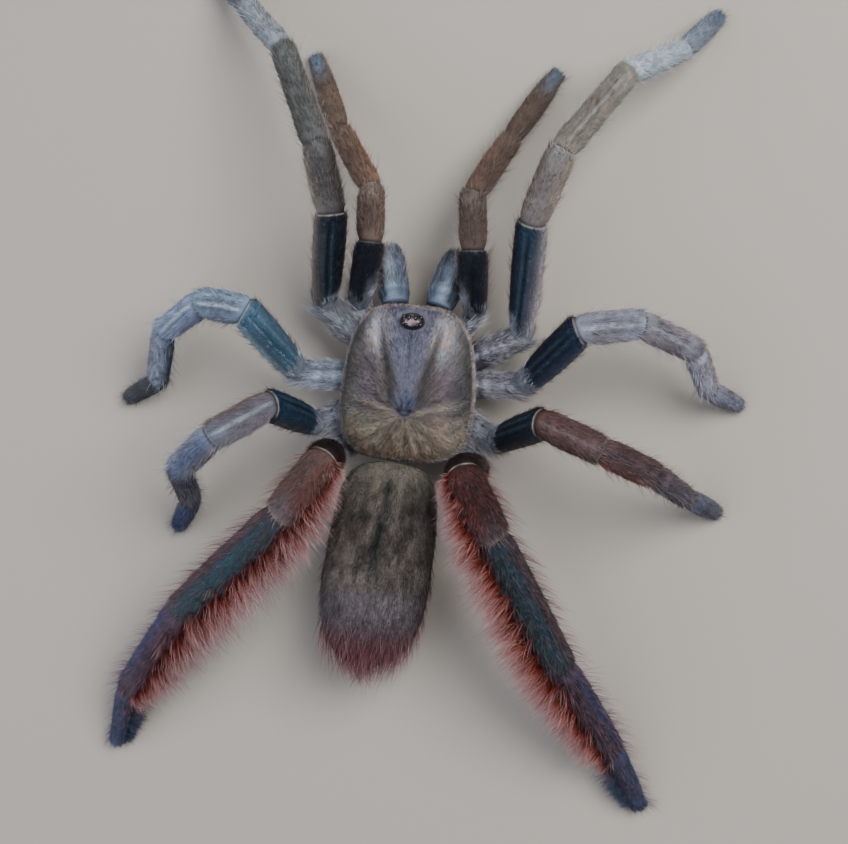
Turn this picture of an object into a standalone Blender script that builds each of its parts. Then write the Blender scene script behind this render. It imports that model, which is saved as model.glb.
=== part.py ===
"""A life-size tarantula at rest: body, palps and legs as closed solids, sized to the tips of the coat.

Every size below is in millimetres. The head points to -Y, the spider's left is +X and the floor is z = 0.
"""

import math

import bmesh
import bpy
from mathutils import Matrix, Vector

MM = 0.001
GAP = 0.3  # thin cut between two neighbouring parts
LIMB_SIDES = 12
DOME_STEPS = (40, 74)  # degrees round the domed end of a limb
FOOT_HEIGHT = 1.0  # centre of a foot's domed tip above the floor

# Front shield: the carapace over the head and thorax.
CARAPACE_FRONT = -9.7
CARAPACE_REAR = 9.6
CARAPACE_HALF_WIDTH = 8.2
CARAPACE_RIM = 8.0  # height of its flat base
CARAPACE_TOP = 12.2
CARAPACE_SEGMENTS = (24, 12)  # round it and from top to bottom
SQUARENESS_FRONT = 3.2  # exponents of its plan, a superellipse
SQUARENESS_REAR = 3.4
# Shares of its size: how much wider it is behind, how its front and rear draw in, how it falls rearwards.
CARAPACE_SPREAD = 0.07
CARAPACE_DRAW = 0.12
CARAPACE_FALL = 0.16
CARAPACE_ROUNDING = 0.8  # exponent of its height: below 1, a flatter top
# The raised head: added height, then its place, length and narrowness in half-lengths of the shield.
HEAD_RISE = 0.16
HEAD_PLACE = -0.5
HEAD_LENGTH = 0.45
HEAD_NARROWNESS = 2

# Eye mound and its eight eyes: (across, back from the mound's centre, radius), one side.
MOUND_PLACE = Vector((0, -7.4, 11.5))
MOUND_SIZE = Vector((1.5, 1.05, 1.15))
MOUND_SEGMENTS = (16, 8)
POCKET_DEPTH = 4  # of the cutter that seats the mound in the carapace
EYES = ((0.38, -0.38, 0.27), (1.02, -0.52, 0.26), (1.02, 0.32, 0.24), (0.62, 0.42, 0.2))

# Underside: sternum, with the first two joints of every limb grown onto it.
STERNUM_HALF = Vector((5.6, 7.9, 3.3))
STERNUM_CENTRE = Vector((0, -0.6, 6.6))
STERNUM_ROOF = 7.7
STERNUM_SEGMENTS = (20, 10)
COXA_ROOT = 0.42  # share of the way out to the hip where a coxa leaves the sternum
COXA_HEIGHT = 4.8
COXA_GIRTH = (2.0, 2.2, 1.7)
PALP_COXA_GIRTH = (1.7, 1.7, 1.4)
COXA_DEPTH = 0.92  # height over width

# Abdomen.
ABDOMEN_FRONT = 7.6
ABDOMEN_REAR = 34.9
ABDOMEN_WIDEST = 22.5
ABDOMEN_HALF_WIDTH = 7.1
ABDOMEN_HALF_HEIGHT = 5.3
ABDOMEN_HEIGHT = 8.2
ABDOMEN_PIVOT = Vector((1.2, 16, 0))  # the animal carries it a little to its left
ABDOMEN_TURN = -4  # degrees about the pivot: its rear lies further to the left
ABDOMEN_SQUARENESS = 2.45
ABDOMEN_LEAN = Vector((0, -0.94, -0.34))  # normal of its front, which leans over the carapace's rear slope
ABDOMEN_SEGMENTS = (20, 16)

# Limbs: hip beside the body (out, back, up), then the length of each joint from the hip outwards.
JOINTS = {
    "palp": ("femur", "patella", "tibia", "tarsus"),
    "leg": ("femur", "patella", "tibia", "metatarsus", "tarsus"),
}
HIPS = {
    "palp": (7.0, -8.6, 6.8),
    "leg1": (11.1, -8.3, 6.6),
    "leg2": (13.5, -1.1, 6.3),
    "leg3": (10.7, 5.9, 6.2),
    "leg4": (8.7, 9.3, 6.2),
}
LENGTHS = {
    "palp": (9.5, 7.9, 9.6, 9.8),
    "leg1": (15.2, 9.0, 13.3, 10.3, 7.2),
    "leg2": (14.4, 7.6, 8.3, 7.5, 5.6),
    "leg3": (12.1, 7.5, 8.6, 9.5, 6.2),
    "leg4": (13.5, 9.1, 18.3, 15.0, 8.2),
}
# How far a hip is carried outwards and back from its place above.
HIP_SHIFTS = {"leg1_right": (1.6, 1.5), "leg2_left": (0.0, 1.0)}
# Half-width of each joint at its near end, middle and far end.
GIRTHS = {
    "palp": ((1.45, 1.9, 1.8), (1.8, 1.95, 1.75), (1.75, 1.8, 1.65), (1.6, 1.75, 1.35)),
    "leg1": ((1.6, 2.1, 2.0), (2.0, 2.15, 1.95), (1.95, 1.9, 1.8), (1.75, 1.75, 1.6), (1.55, 1.6, 1.35)),
    "leg2": ((1.6, 2.15, 2.05), (2.05, 2.15, 1.95), (1.95, 1.95, 1.8), (1.75, 1.75, 1.6), (1.55, 1.55, 1.3)),
    "leg3": ((1.6, 2.1, 2.0), (2.0, 2.15, 1.95), (1.95, 2.05, 1.85), (1.8, 1.75, 1.6), (1.55, 1.6, 1.3)),
    "leg4": ((1.7, 2.3, 2.2), (2.3, 2.6, 2.4), (2.4, 2.5, 2.3), (2.2, 2.2, 1.9), (1.75, 1.7, 1.4)),
}
# Extra reach of the long hair on the inner side of the hind legs, at both ends of each joint.
BRUSHES = {"leg4": ((0.2, 0.2), (1.0, 3.4), (3.6, 4.4), (4.2, 2.6), (2.0, 0.6))}
NO_BRUSH = ((0, 0),) * 5

# Pose: (bearing, rise) of each joint in degrees. Bearing 0 points forward and grows outwards;
# the last joint's rise follows from its foot resting on the floor.
POSE = {
    "palp_left": ((-9, 35), (8, -32), (35, -25), (25, 0)),
    "palp_right": ((-5, 35), (-7, -31), (26, -25), (29, 0)),
    "leg1_left": ((-6, 46), (20, -22), (26, -15), (46, -34), (48, 0)),
    "leg1_right": ((1, 29), (18, 18), (33, -24), (56, -38), (38, 0)),
    "leg2_left": ((39, 54), (84, -38), (124, -38), (170, -31), (120, 0)),
    "leg2_right": ((41, 50), (78, -24), (109, -29), (150, -46), (110, 0)),
    "leg3_left": ((65, 66), (125, 19), (134, -41), (182, -62), (148, 0)),
    "leg3_right": ((62, 58), (109, 14), (111, -34), (120, -55), (113, 0)),
    "leg4_left": ((90, 93), (147, -20), (138, -16), (148, -28), (168, 0)),
    "leg4_right": ((90, 93), (152, -25), (148, -15), (145, -30), (150, 0)),
}

# Chelicerae and their fangs, one side.
CHELICERA_ROOT = Vector((2.6, -9.4, 6.9))
CHELICERA_TIP = Vector((4.1, -15.2, 5.2))
CHELICERA_GIRTH = (2.15, 2.1, 1.35)
CHELICERA_DEPTH = 1.3  # height over width
FANG_START = Vector((4.0, -15.0, 3.1))
FANG_RADIUS = 2.5  # of the arc it follows
FANG_SWEEP = 100
FANG_GIRTH = 0.75
FANG_POINT = 0.15  # half-width of its tip as a share of the girth
FANG_STEPS = 7
FANG_SIDES = 10

# Spinnerets, one side.
SPINNERET_START = Vector((1.3, 31.2, 3.3))
SPINNERET_END = Vector((1.9, 33.7, 3.6))
SPINNERET_GIRTH = (0.75, 0.7, 0.45)

SIDES = (("left", 1), ("right", -1))
DOWN = Vector((0, 0, -1))

# Colour and roughness of each kind of part.
LOOKS = {
    "carapace": ((0.13, 0.11, 0.075), 0.75),
    "eye_mound": ((0.03, 0.025, 0.03), 0.3),
    "abdomen": ((0.10, 0.08, 0.065), 0.9),
    "underside": ((0.16, 0.14, 0.16), 0.85),
    "chelicera": ((0.22, 0.24, 0.28), 0.8),
    "fang": ((0.01, 0.008, 0.008), 0.15),
    "spinneret": ((0.09, 0.07, 0.08), 0.9),
    "femur": ((0.02, 0.035, 0.06), 0.6),
    "patella": ((0.20, 0.15, 0.13), 0.85),
    "tibia": ((0.18, 0.14, 0.13), 0.85),
    "metatarsus": ((0.16, 0.14, 0.17), 0.85),
    "tarsus": ((0.08, 0.11, 0.18), 0.85),
}


def clear_scene():
    for obj in list(bpy.data.objects):
        bpy.data.objects.remove(obj, do_unlink=True)


def new_collection(name, hidden=False):
    made = bpy.data.collections.new(name)
    made.hide_render = hidden
    bpy.context.scene.collection.children.link(made)
    return made


def principled(name, kind):
    colour, roughness = LOOKS[kind]
    mat = bpy.data.materials.new(name)
    mat.use_nodes = True
    shader = mat.node_tree.nodes["Principled BSDF"]
    shader.inputs["Base Color"].default_value = (*colour, 1)
    shader.inputs["Roughness"].default_value = roughness
    shader.inputs["Metallic"].default_value = 0
    return mat


def place(name, kind, bm, matrix=Matrix()):
    """Make a part from a mesh drawn in the body's own millimetres, with its origin at the given matrix."""
    bm.normal_update()
    bmesh.ops.recalc_face_normals(bm, faces=bm.faces)
    bm.transform(matrix.inverted())
    bm.transform(Matrix.Scale(MM, 4))
    mesh = bpy.data.meshes.new(name)
    bm.to_mesh(mesh)
    bm.free()
    obj = bpy.data.objects.new(name, mesh)
    obj.matrix_world = Matrix.Translation(matrix.translation * MM) @ matrix.to_3x3().to_4x4()
    mesh.materials.append(principled(name, kind))
    parts.objects.link(obj)
    return obj


def as_helper(obj):
    """Turn a part into a hidden body for another part's Boolean."""
    parts.objects.unlink(obj)
    helpers.objects.link(obj)
    obj.hide_render = True
    obj.display_type = "WIRE"
    return obj


def boolean(obj, other, operation):
    step = obj.modifiers.new(other.name, "BOOLEAN")
    step.operation = operation
    step.solver = "EXACT"
    step.object = other


def cut(bm, point, normal):
    """Remove what lies beyond a plane and close the mesh there."""
    geometry = bm.verts[:] + bm.edges[:] + bm.faces[:]
    bmesh.ops.bisect_plane(bm, geom=geometry, plane_co=point, plane_no=normal, clear_outer=True)
    rim = [edge for edge in bm.edges if edge.is_boundary]
    bmesh.ops.holes_fill(bm, edges=rim, sides=0)


def heading(side, bearing, rise):
    level = math.cos(math.radians(rise))
    turn = math.radians(bearing)
    return Vector((side * level * math.sin(turn), -level * math.cos(turn), math.sin(math.radians(rise))))


def limb_frame(start, along, up):
    """Matrix at a joint: local z runs along the limb, y is its upper side."""
    upper = (up - along * up.dot(along)).normalized()
    columns = Matrix((upper.cross(along), upper, along)).transposed()
    return Matrix.Translation(start) @ columns.to_4x4()


def girth_at(girths, t):
    """Parabola through the near, middle and far half-widths, held level past the ends."""
    near, middle, far = girths
    t = min(max(t, 0), 1)
    return near * (1 - t) * (1 - 2 * t) + middle * 4 * t * (1 - t) + far * t * (2 * t - 1)


def limb(frame, length, girths, depth=1.0, brush=(0, 0), inward=1, spans=3):
    """A cylinder with domed ends, its rings set to the half-widths; the brush widens its inner side."""
    near = [(-math.sin(math.radians(a)) * girths[0] / length, math.cos(math.radians(a))) for a in DOME_STEPS]
    far = [(1 + math.sin(math.radians(a)) * girths[2] / length, math.cos(math.radians(a))) for a in DOME_STEPS]
    rings = near[::-1] + [(i / spans, 1) for i in range(spans + 1)] + far
    bm = bmesh.new()
    bmesh.ops.create_cone(bm, cap_ends=True, segments=LIMB_SIDES, radius1=1, radius2=1, depth=1)
    lengthwise = [edge for edge in bm.edges if abs(edge.verts[0].co.z - edge.verts[1].co.z) > 0.5]
    bmesh.ops.subdivide_edges(bm, edges=lengthwise, cuts=len(rings) - 2)
    for vert in bm.verts:
        t, dome = rings[round((vert.co.z + 0.5) * (len(rings) - 1))]
        radius = girth_at(girths, t) * dome
        reach = brush[0] + (brush[1] - brush[0]) * min(max(t, 0), 1)
        across = radius + (reach * dome if vert.co.x * inward > 0 else 0)
        vert.co = Vector((vert.co.x * across, vert.co.y * radius * depth, t * length))
    bm.transform(frame)
    return bm


def limb_points(name, kind, side):
    """Joint centres from hip to foot, with the direction of each joint."""
    out, back, up = HIPS[kind]
    further_out, further_back = HIP_SHIFTS.get(name, (0, 0))
    points = [Vector((side * (out + further_out), back + further_back, up))]
    courses = []
    pose = POSE[name]
    for index, length in enumerate(LENGTHS[kind]):
        bearing, rise = pose[index]
        if index == len(pose) - 1:
            rise = math.degrees(math.asin((FOOT_HEIGHT - points[-1].z) / length))
        courses.append(heading(side, bearing, rise))
        points.append(points[-1] + courses[-1] * length)
    return points, courses


def coxa_course(hip):
    root = Vector((hip.x * COXA_ROOT, hip.y * COXA_ROOT, COXA_HEIGHT))
    return root, (hip - root).normalized()


def make_limb(kind, side_name, side):
    name = f"{kind}_{side_name}"
    points, courses = limb_points(name, kind, side)
    brushes = BRUSHES.get(kind, NO_BRUSH)
    before = coxa_course(points[0])[1]
    ups = [Vector((0, 0, 1))] * len(courses)
    # A femur can stand upright, so its upper side is carried back from the patella's.
    bend = courses[0].rotation_difference(courses[1])
    patella_up = limb_frame(points[1], courses[1], ups[1]).to_3x3().col[1]
    ups[0] = bend.inverted() @ patella_up
    for index, joint in enumerate(JOINTS[kind.rstrip("1234")]):
        course = courses[index]
        frame = limb_frame(points[index], course, ups[index])
        length = LENGTHS[kind][index]
        spans = 2 if joint == "tarsus" else 3
        bm = limb(frame, length, GIRTHS[kind][index], brush=brushes[index], inward=side, spans=spans)
        near = (before + course).normalized()
        cut(bm, points[index] + near * GAP / 2, -near)
        if index + 1 < len(courses):
            far = (course + courses[index + 1]).normalized()
            cut(bm, points[index + 1] - far * GAP / 2, far)
        else:
            cut(bm, Vector((0, 0, 0)), DOWN)
        place(f"{name}_{joint}", joint, bm, frame)
        before = course


def make_coxa(kind, side_name, side):
    """First two joints of a limb: the coxa, a neck and the trochanter up to the hip cut."""
    points, courses = limb_points(f"{kind}_{side_name}", kind, side)
    root, course = coxa_course(points[0])
    reach = (points[0] - root).length
    frame = limb_frame(root, course, Vector((0, 0, 1)))
    girth = PALP_COXA_GIRTH if kind == "palp" else COXA_GIRTH
    bm = limb(frame, reach, girth, depth=COXA_DEPTH)
    far = (course + courses[0]).normalized()
    cut(bm, points[0] - far * GAP / 2, far)
    return as_helper(place(f"coxa_{kind}_{side_name}", "underside", bm))


def rounded_box(vector, power):
    """Scale that carries a point of a circle out to a superellipse."""
    x, y = abs(vector[0]), abs(vector[1])
    return 1 / max((x**power + y**power) ** (1 / power), 1e-9)


def make_carapace():
    bm = bmesh.new()
    round_it, downwards = CARAPACE_SEGMENTS
    bmesh.ops.create_uvsphere(bm, u_segments=round_it, v_segments=downwards, radius=1)
    centre = (CARAPACE_FRONT + CARAPACE_REAR) / 2
    half_length = (CARAPACE_REAR - CARAPACE_FRONT) / 2
    for vert in bm.verts:
        level = math.hypot(vert.co.x, vert.co.y)
        if level < 1e-6:
            x, y = 0, 0
        else:
            course = (vert.co.x / level, vert.co.y / level)
            power = SQUARENESS_FRONT if course[1] < 0 else SQUARENESS_REAR
            spread = rounded_box(course, power) * level
            x, y = course[0] * spread, course[1] * spread
        taper = 1 + CARAPACE_SPREAD * y - CARAPACE_DRAW * y * y
        lengthwise = (y - HEAD_PLACE) / HEAD_LENGTH
        head = HEAD_RISE * math.exp(-(lengthwise**2) - (HEAD_NARROWNESS * x) ** 2)
        dome = math.copysign(abs(vert.co.z) ** CARAPACE_ROUNDING, vert.co.z)
        height = dome * (1 - CARAPACE_FALL * y) + head * vert.co.z
        vert.co.x = x * taper * CARAPACE_HALF_WIDTH
        vert.co.y = centre + y * half_length
        vert.co.z = CARAPACE_RIM + height * (CARAPACE_TOP - CARAPACE_RIM)
    cut(bm, Vector((0, 0, CARAPACE_RIM)), DOWN)
    carapace = place("carapace", "carapace", bm)
    pocket = bmesh.new()
    bmesh.ops.create_cone(pocket, cap_ends=True, segments=round_it, radius1=1, radius2=1, depth=1)
    size = Vector((MOUND_SIZE.x + GAP, MOUND_SIZE.y + GAP, POCKET_DEPTH, 1))
    middle = MOUND_PLACE + Vector((0, 0, POCKET_DEPTH / 2 - GAP))
    pocket.transform(Matrix.Translation(middle) @ Matrix.Diagonal(size))
    boolean(carapace, as_helper(place("mound_pocket", "carapace", pocket)), "DIFFERENCE")


def make_eye_mound():
    bm = bmesh.new()
    round_it, downwards = MOUND_SEGMENTS
    bmesh.ops.create_uvsphere(bm, u_segments=round_it, v_segments=downwards, radius=1)
    bm.transform(Matrix.Translation(MOUND_PLACE) @ Matrix.Diagonal((*MOUND_SIZE, 1)))
    cut(bm, MOUND_PLACE, DOWN)
    mound = place("eye_mound", "eye_mound", bm, Matrix.Translation(MOUND_PLACE))
    for side_name, side in SIDES:
        for index, (across, back, radius) in enumerate(EYES):
            share = (across / MOUND_SIZE.x) ** 2 + (back / MOUND_SIZE.y) ** 2
            lift = MOUND_SIZE.z * math.sqrt(1 - share)
            eye = bmesh.new()
            bmesh.ops.create_icosphere(eye, subdivisions=1, radius=radius)
            eye.transform(Matrix.Translation(MOUND_PLACE + Vector((side * across, back, lift))))
            boolean(mound, as_helper(place(f"eye_{side_name}_{index + 1}", "eye_mound", eye)), "UNION")


def make_underside():
    bm = bmesh.new()
    round_it, downwards = STERNUM_SEGMENTS
    bmesh.ops.create_uvsphere(bm, u_segments=round_it, v_segments=downwards, radius=1)
    bm.transform(Matrix.Translation(STERNUM_CENTRE) @ Matrix.Diagonal((*STERNUM_HALF, 1)))
    cut(bm, Vector((0, 0, STERNUM_ROOF)), Vector((0, 0, 1)))
    underside = place("underside", "underside", bm)
    for side_name, side in SIDES:
        for kind in LENGTHS:
            boolean(underside, make_coxa(kind, side_name, side), "UNION")


def abdomen_turn():
    """Carries a straight abdomen at x = 0 over to the side, and turns it about its pivot."""
    turn = Matrix.Rotation(math.radians(ABDOMEN_TURN), 4, "Z")
    return Matrix.Translation(ABDOMEN_PIVOT) @ turn @ Matrix.Translation(Vector((0, -ABDOMEN_PIVOT.y, 0)))


def make_abdomen():
    bm = bmesh.new()
    round_it, lengthwise = ABDOMEN_SEGMENTS
    bmesh.ops.create_uvsphere(bm, u_segments=round_it, v_segments=lengthwise, radius=1)
    bm.transform(Matrix.Rotation(math.radians(90), 4, "X"))
    front, rear = ABDOMEN_WIDEST - ABDOMEN_FRONT, ABDOMEN_REAR - ABDOMEN_WIDEST
    for vert in bm.verts:
        level = math.hypot(vert.co.x, vert.co.z)
        spread = rounded_box((level, vert.co.y), ABDOMEN_SQUARENESS)
        half_length = front if vert.co.y < 0 else rear
        vert.co.x = vert.co.x * spread * ABDOMEN_HALF_WIDTH
        vert.co.z = ABDOMEN_HEIGHT + vert.co.z * spread * ABDOMEN_HALF_HEIGHT
        vert.co.y = ABDOMEN_WIDEST + vert.co.y * spread * half_length
    bm.transform(abdomen_turn())
    cut(bm, Vector((0, CARAPACE_REAR + GAP, CARAPACE_RIM)), ABDOMEN_LEAN)
    place("abdomen", "abdomen", bm)


def make_chelicera(side_name, side):
    root = Vector((side * CHELICERA_ROOT.x, CHELICERA_ROOT.y, CHELICERA_ROOT.z))
    tip = Vector((side * CHELICERA_TIP.x, CHELICERA_TIP.y, CHELICERA_TIP.z))
    along = tip - root
    frame = limb_frame(root, along.normalized(), Vector((0, 0, 1)))
    bm = limb(frame, along.length, CHELICERA_GIRTH, depth=CHELICERA_DEPTH)
    cut(bm, Vector((0, CARAPACE_FRONT - GAP, 0)), Vector((0, 1, 0)))
    cut(bm, Vector((side * GAP / 2, 0, 0)), Vector((-side, 0, 0)))
    place(f"chelicera_{side_name}", "chelicera", bm, frame)


def make_fang(side_name, side):
    """A cone bent along an arc that runs down and back under the chelicera."""
    bm = bmesh.new()
    bmesh.ops.create_cone(
        bm, cap_ends=True, segments=FANG_SIDES, radius1=1, radius2=FANG_POINT, depth=1
    )
    lengthwise = [edge for edge in bm.edges if abs(edge.verts[0].co.z - edge.verts[1].co.z) > 0.5]
    bmesh.ops.subdivide_edges(bm, edges=lengthwise, cuts=FANG_STEPS - 1)
    for vert in bm.verts:
        turn = math.radians(FANG_SWEEP) * (vert.co.z + 0.5)
        reach = FANG_RADIUS + vert.co.y * FANG_GIRTH
        vert.co = Vector((vert.co.x * FANG_GIRTH, -reach * math.cos(turn), -reach * math.sin(turn)))
    start = Vector((side * FANG_START.x, FANG_START.y + FANG_RADIUS, FANG_START.z))
    bm.transform(Matrix.Translation(start))
    place(f"fang_{side_name}", "fang", bm, Matrix.Translation(start))


def make_spinneret(side_name, side):
    start = abdomen_turn() @ Vector((side * SPINNERET_START.x, SPINNERET_START.y, SPINNERET_START.z))
    end = abdomen_turn() @ Vector((side * SPINNERET_END.x, SPINNERET_END.y, SPINNERET_END.z))
    along = end - start
    frame = limb_frame(start, along.normalized(), Vector((0, 0, 1)))
    place(f"spinneret_{side_name}", "spinneret", limb(frame, along.length, SPINNERET_GIRTH, spans=2), frame)


def centre_on_origin():
    """Parent every part to one empty and shift it so that the bounding box stands over the origin."""
    root = bpy.data.objects.new("tarantula", None)
    parts.objects.link(root)
    bpy.context.view_layer.update()
    graph = bpy.context.evaluated_depsgraph_get()
    corners = []
    for obj in parts.objects:
        if obj.type == "MESH":
            mesh = obj.evaluated_get(graph).to_mesh()
            corners += [obj.matrix_world @ vert.co for vert in mesh.vertices]
            obj.evaluated_get(graph).to_mesh_clear()
    low = Vector(min(corner[axis] for corner in corners) for axis in range(3))
    high = Vector(max(corner[axis] for corner in corners) for axis in range(3))
    for obj in list(parts.objects) + list(helpers.objects):
        if obj != root:
            obj.parent = root
    root.location = (-(low.x + high.x) / 2, -(low.y + high.y) / 2, -low.z)


clear_scene()
parts = new_collection("tarantula")
helpers = new_collection("helpers", hidden=True)
make_carapace()
make_eye_mound()
make_underside()
make_abdomen()
for label, sign in SIDES:
    make_chelicera(label, sign)
    make_fang(label, sign)
    make_spinneret(label, sign)
    for limb_kind in LENGTHS:
        make_limb(limb_kind, label, sign)
centre_on_origin()
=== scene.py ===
import math
from types import SimpleNamespace
import bpy
import numpy as np
from mathutils import Matrix, Vector


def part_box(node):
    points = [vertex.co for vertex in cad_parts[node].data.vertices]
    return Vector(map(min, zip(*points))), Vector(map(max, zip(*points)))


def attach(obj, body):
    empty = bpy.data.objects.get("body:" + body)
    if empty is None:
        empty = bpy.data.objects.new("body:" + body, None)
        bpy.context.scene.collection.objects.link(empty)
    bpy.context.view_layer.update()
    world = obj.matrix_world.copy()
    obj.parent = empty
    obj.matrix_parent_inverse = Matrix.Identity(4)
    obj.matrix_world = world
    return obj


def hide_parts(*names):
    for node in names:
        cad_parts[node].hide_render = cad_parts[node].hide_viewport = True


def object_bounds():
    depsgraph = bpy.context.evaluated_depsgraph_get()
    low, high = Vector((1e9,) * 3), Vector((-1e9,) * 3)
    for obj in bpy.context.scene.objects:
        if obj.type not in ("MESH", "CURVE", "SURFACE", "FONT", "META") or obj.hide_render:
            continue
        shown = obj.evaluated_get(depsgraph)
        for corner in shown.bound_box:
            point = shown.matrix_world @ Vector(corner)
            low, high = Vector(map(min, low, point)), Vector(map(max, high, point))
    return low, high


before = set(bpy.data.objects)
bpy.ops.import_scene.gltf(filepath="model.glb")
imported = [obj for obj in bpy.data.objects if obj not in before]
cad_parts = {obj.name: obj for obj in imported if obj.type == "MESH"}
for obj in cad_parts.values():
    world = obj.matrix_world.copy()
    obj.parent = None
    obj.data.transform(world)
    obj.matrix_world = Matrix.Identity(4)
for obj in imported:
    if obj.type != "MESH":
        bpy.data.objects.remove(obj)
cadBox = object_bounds()

# A tarantula at rest. Sizes are in millimetres in the body's own frame: the carapace's middle is
# the origin, the head points to -y, its left is +x and the floor is z = 0.
mm = 0.001
sides = {"left": 1, "right": -1}
shellFront = -9.7
shellLow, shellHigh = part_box("carapace")
bodyCentre = np.array([(shellLow.x + shellHigh.x) / 2 / mm, shellLow.y / mm - shellFront, 0])
coatTop = cadBox[1][2] / mm + 0.5  # no hair stands higher
hairShare = 1.0


def unit(v):
    # v over its own length
    return v / np.maximum(np.linalg.norm(v, axis=-1, keepdims=True), 1e-9)


def stacked(*axes):
    return np.stack(axes, -1)


def circle(count):
    # turns evenly spread round a circle
    return np.linspace(0, 2 * math.pi, count, endpoint=False)


def grid(rows, columns):
    return np.meshgrid(rows, columns, indexing="ij")


def laidFlat(v, normal, share=1.0):
    # the part of v square to a normal, made one long
    return unit(v - normal * (v * normal).sum(-1, keepdims=True) * share)


palette = dict(depth=0.85, richness=1.2)  # how the soft light is made up for


def tone(code):
    # a colour written as six hex digits, made linear, enriched and deepened
    c = np.array([int(code[i:i + 2], 16) / 255 for i in (0, 2, 4)])
    c = np.where(c > 0.04045, ((c + 0.055) / 1.055) ** 2.4, c / 12.92)
    grey = c @ (0.21, 0.72, 0.07)
    return np.clip(grey + (c - grey) * palette["richness"], 0.0005, 1) * palette["depth"]


def bell(x, middle, width):
    # 1 at the middle, falling off as e to the minus square of the distance in widths
    return np.exp(-(((x - middle) / width) ** 2))


def ramp(x, low, high):
    # smoothstep 3t² - 2t³ from low to high
    t = np.clip((x - low) / (high - low), 0, 1)
    return t * t * (3 - 2 * t)


def mixed(a, b, share):
    # a share of the way from one colour to another, each an array or a tone's six digits
    a, b = (tone(c) if isinstance(c, str) else c for c in (a, b))
    return a + (b - a) * np.asarray(share)[..., None]


cells = 24  # along each side of the lattice
lattice = np.random.default_rng(7).random((cells, cells, cells))


def patches(points, size):
    # smooth noise from 0 to 1: random values on a cubic lattice, eased along each axis by 3t² - 2t³
    cell = np.floor(points / size)
    t = points / size - cell
    t = t * t * (3 - 2 * t)
    low = cell.astype(int) % cells
    high = (low + 1) % cells
    total = 0
    for corner in range(8):
        pick = [corner >> axis & 1 for axis in range(3)]
        index = [np.where(p, high[..., a], low[..., a]) for a, p in enumerate(pick)]
        weight = np.prod([t[..., a] if p else 1 - t[..., a] for a, p in enumerate(pick)], axis=0)
        total = total + lattice[index[0], index[1], index[2]] * weight
    return total


def solidOf(node):
    # corners of a CAD node's triangles, in the body's frame
    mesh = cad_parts[node].data
    mesh.calc_loop_triangles()
    points = np.empty(len(mesh.vertices) * 3)
    mesh.vertices.foreach_get("co", points)
    faces = np.empty(len(mesh.loop_triangles) * 3, int)
    mesh.loop_triangles.foreach_get("vertices", faces)
    return points.reshape(-1, 3)[faces.reshape(-1, 3)] / mm - bodyCentre


def castRays(triangles, origins, directions):
    # distance to the farthest triangle that each ray meets: the Möller-Trumbore test of all rays
    # against all triangles, a few hundred rays at a time
    a = triangles[:, 0]
    ab, ac = triangles[:, 1] - a, triangles[:, 2] - a
    found = []
    for rows in np.array_split(np.arange(len(origins)), max(1, len(origins) // 400)):
        d = directions[rows, None]
        h = np.cross(d, ac)
        det = (ab * h).sum(-1)
        det = np.where(np.abs(det) < 1e-9, 1e-9, det)
        s = origins[rows, None] - a
        u = (s * h).sum(-1) / det
        q = np.cross(s, ab)
        v = (d * q).sum(-1) / det
        reach = (ac * q).sum(-1) / det
        hit = (u > -1e-6) & (v > -1e-6) & (u + v < 1 + 1e-6) & (reach > 0)
        found.append(np.where(hit, reach, 0).max(1))
    return np.concatenate(found)


def melted(values, passes):
    # each pass averages a value with its neighbours, 1 2 1, along the rows and round the columns
    for _ in range(passes):
        values = (np.roll(values, 1, 1) + 2 * values + np.roll(values, -1, 1)) / 4
        padded = np.concatenate([values[:1], values, values[-1:]])
        values = (padded[:-2] + 2 * values + padded[2:]) / 4
    return values


def closedGrid(points, tones, place, **extra):
    # Rows x columns of points that wrap round, with a pole put at each end. `place` is its part of
    # the unwrapped map: left, low, width, height.
    rows, columns = points.shape[:2]
    flat = withPoles(points, rows, columns)
    i, j = grid(np.arange(rows - 1), np.arange(columns))
    start, following = i * columns + j, i * columns + (j + 1) % columns
    quads = stacked(start, following, following + columns, start + columns).reshape(-1, 4)
    corners = stacked(i, j, i, j + 1, i + 1, j + 1, i + 1, j).reshape(-1, 4, 2)
    ring, after = start[0], following[0]
    first, last = rows * columns + np.array([0, 1])
    below = (rows - 1) * columns
    near = stacked(ring * 0 + first, after, ring)
    far = stacked(ring * 0 + last, below + ring, below + after)
    triangles = np.concatenate([near, far])
    top, end = ring * 0, ring * 0 + rows - 1
    nearMap = stacked(top, ring + 0.5, top, ring + 1, top, ring)
    farMap = stacked(end, ring + 0.5, end, ring, end, ring + 1)
    poleMap = np.concatenate([nearMap, farMap]).reshape(-1, 3, 2)
    left, bottom, wide, tall = place
    scale = np.array([wide / (rows - 1), tall / columns])
    a, b, c = (flat[triangles[:, n]] for n in range(3))
    volume = (a * np.cross(b, c)).sum()
    p, q, r, s = (flat[quads[:, n]] for n in range(4))
    volume += (p * np.cross(q, r)).sum() + (p * np.cross(r, s)).sum()
    if volume < 0:
        quads, corners = quads[:, ::-1], corners[:, ::-1]
        triangles, poleMap = triangles[:, ::-1], poleMap[:, ::-1]
    spread = np.concatenate([part.reshape(-1, 2) for part in (corners, poleMap)])
    spread = spread * scale + (left, bottom)
    made = dict(points=flat, quads=quads, triangles=triangles, map=spread, mapSplit=len(quads) * 4)
    for name, values in dict(tone=tones, **extra).items():
        made[name] = withPoles(values, rows, columns)
    return made


def withPoles(values, rows, columns):
    # a grid's values in one list, with the means of its first and last rows at the end
    flat = values.reshape(rows * columns, -1)
    return np.concatenate([flat, [flat[:columns].mean(0), flat[-columns:].mean(0)]])


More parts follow.
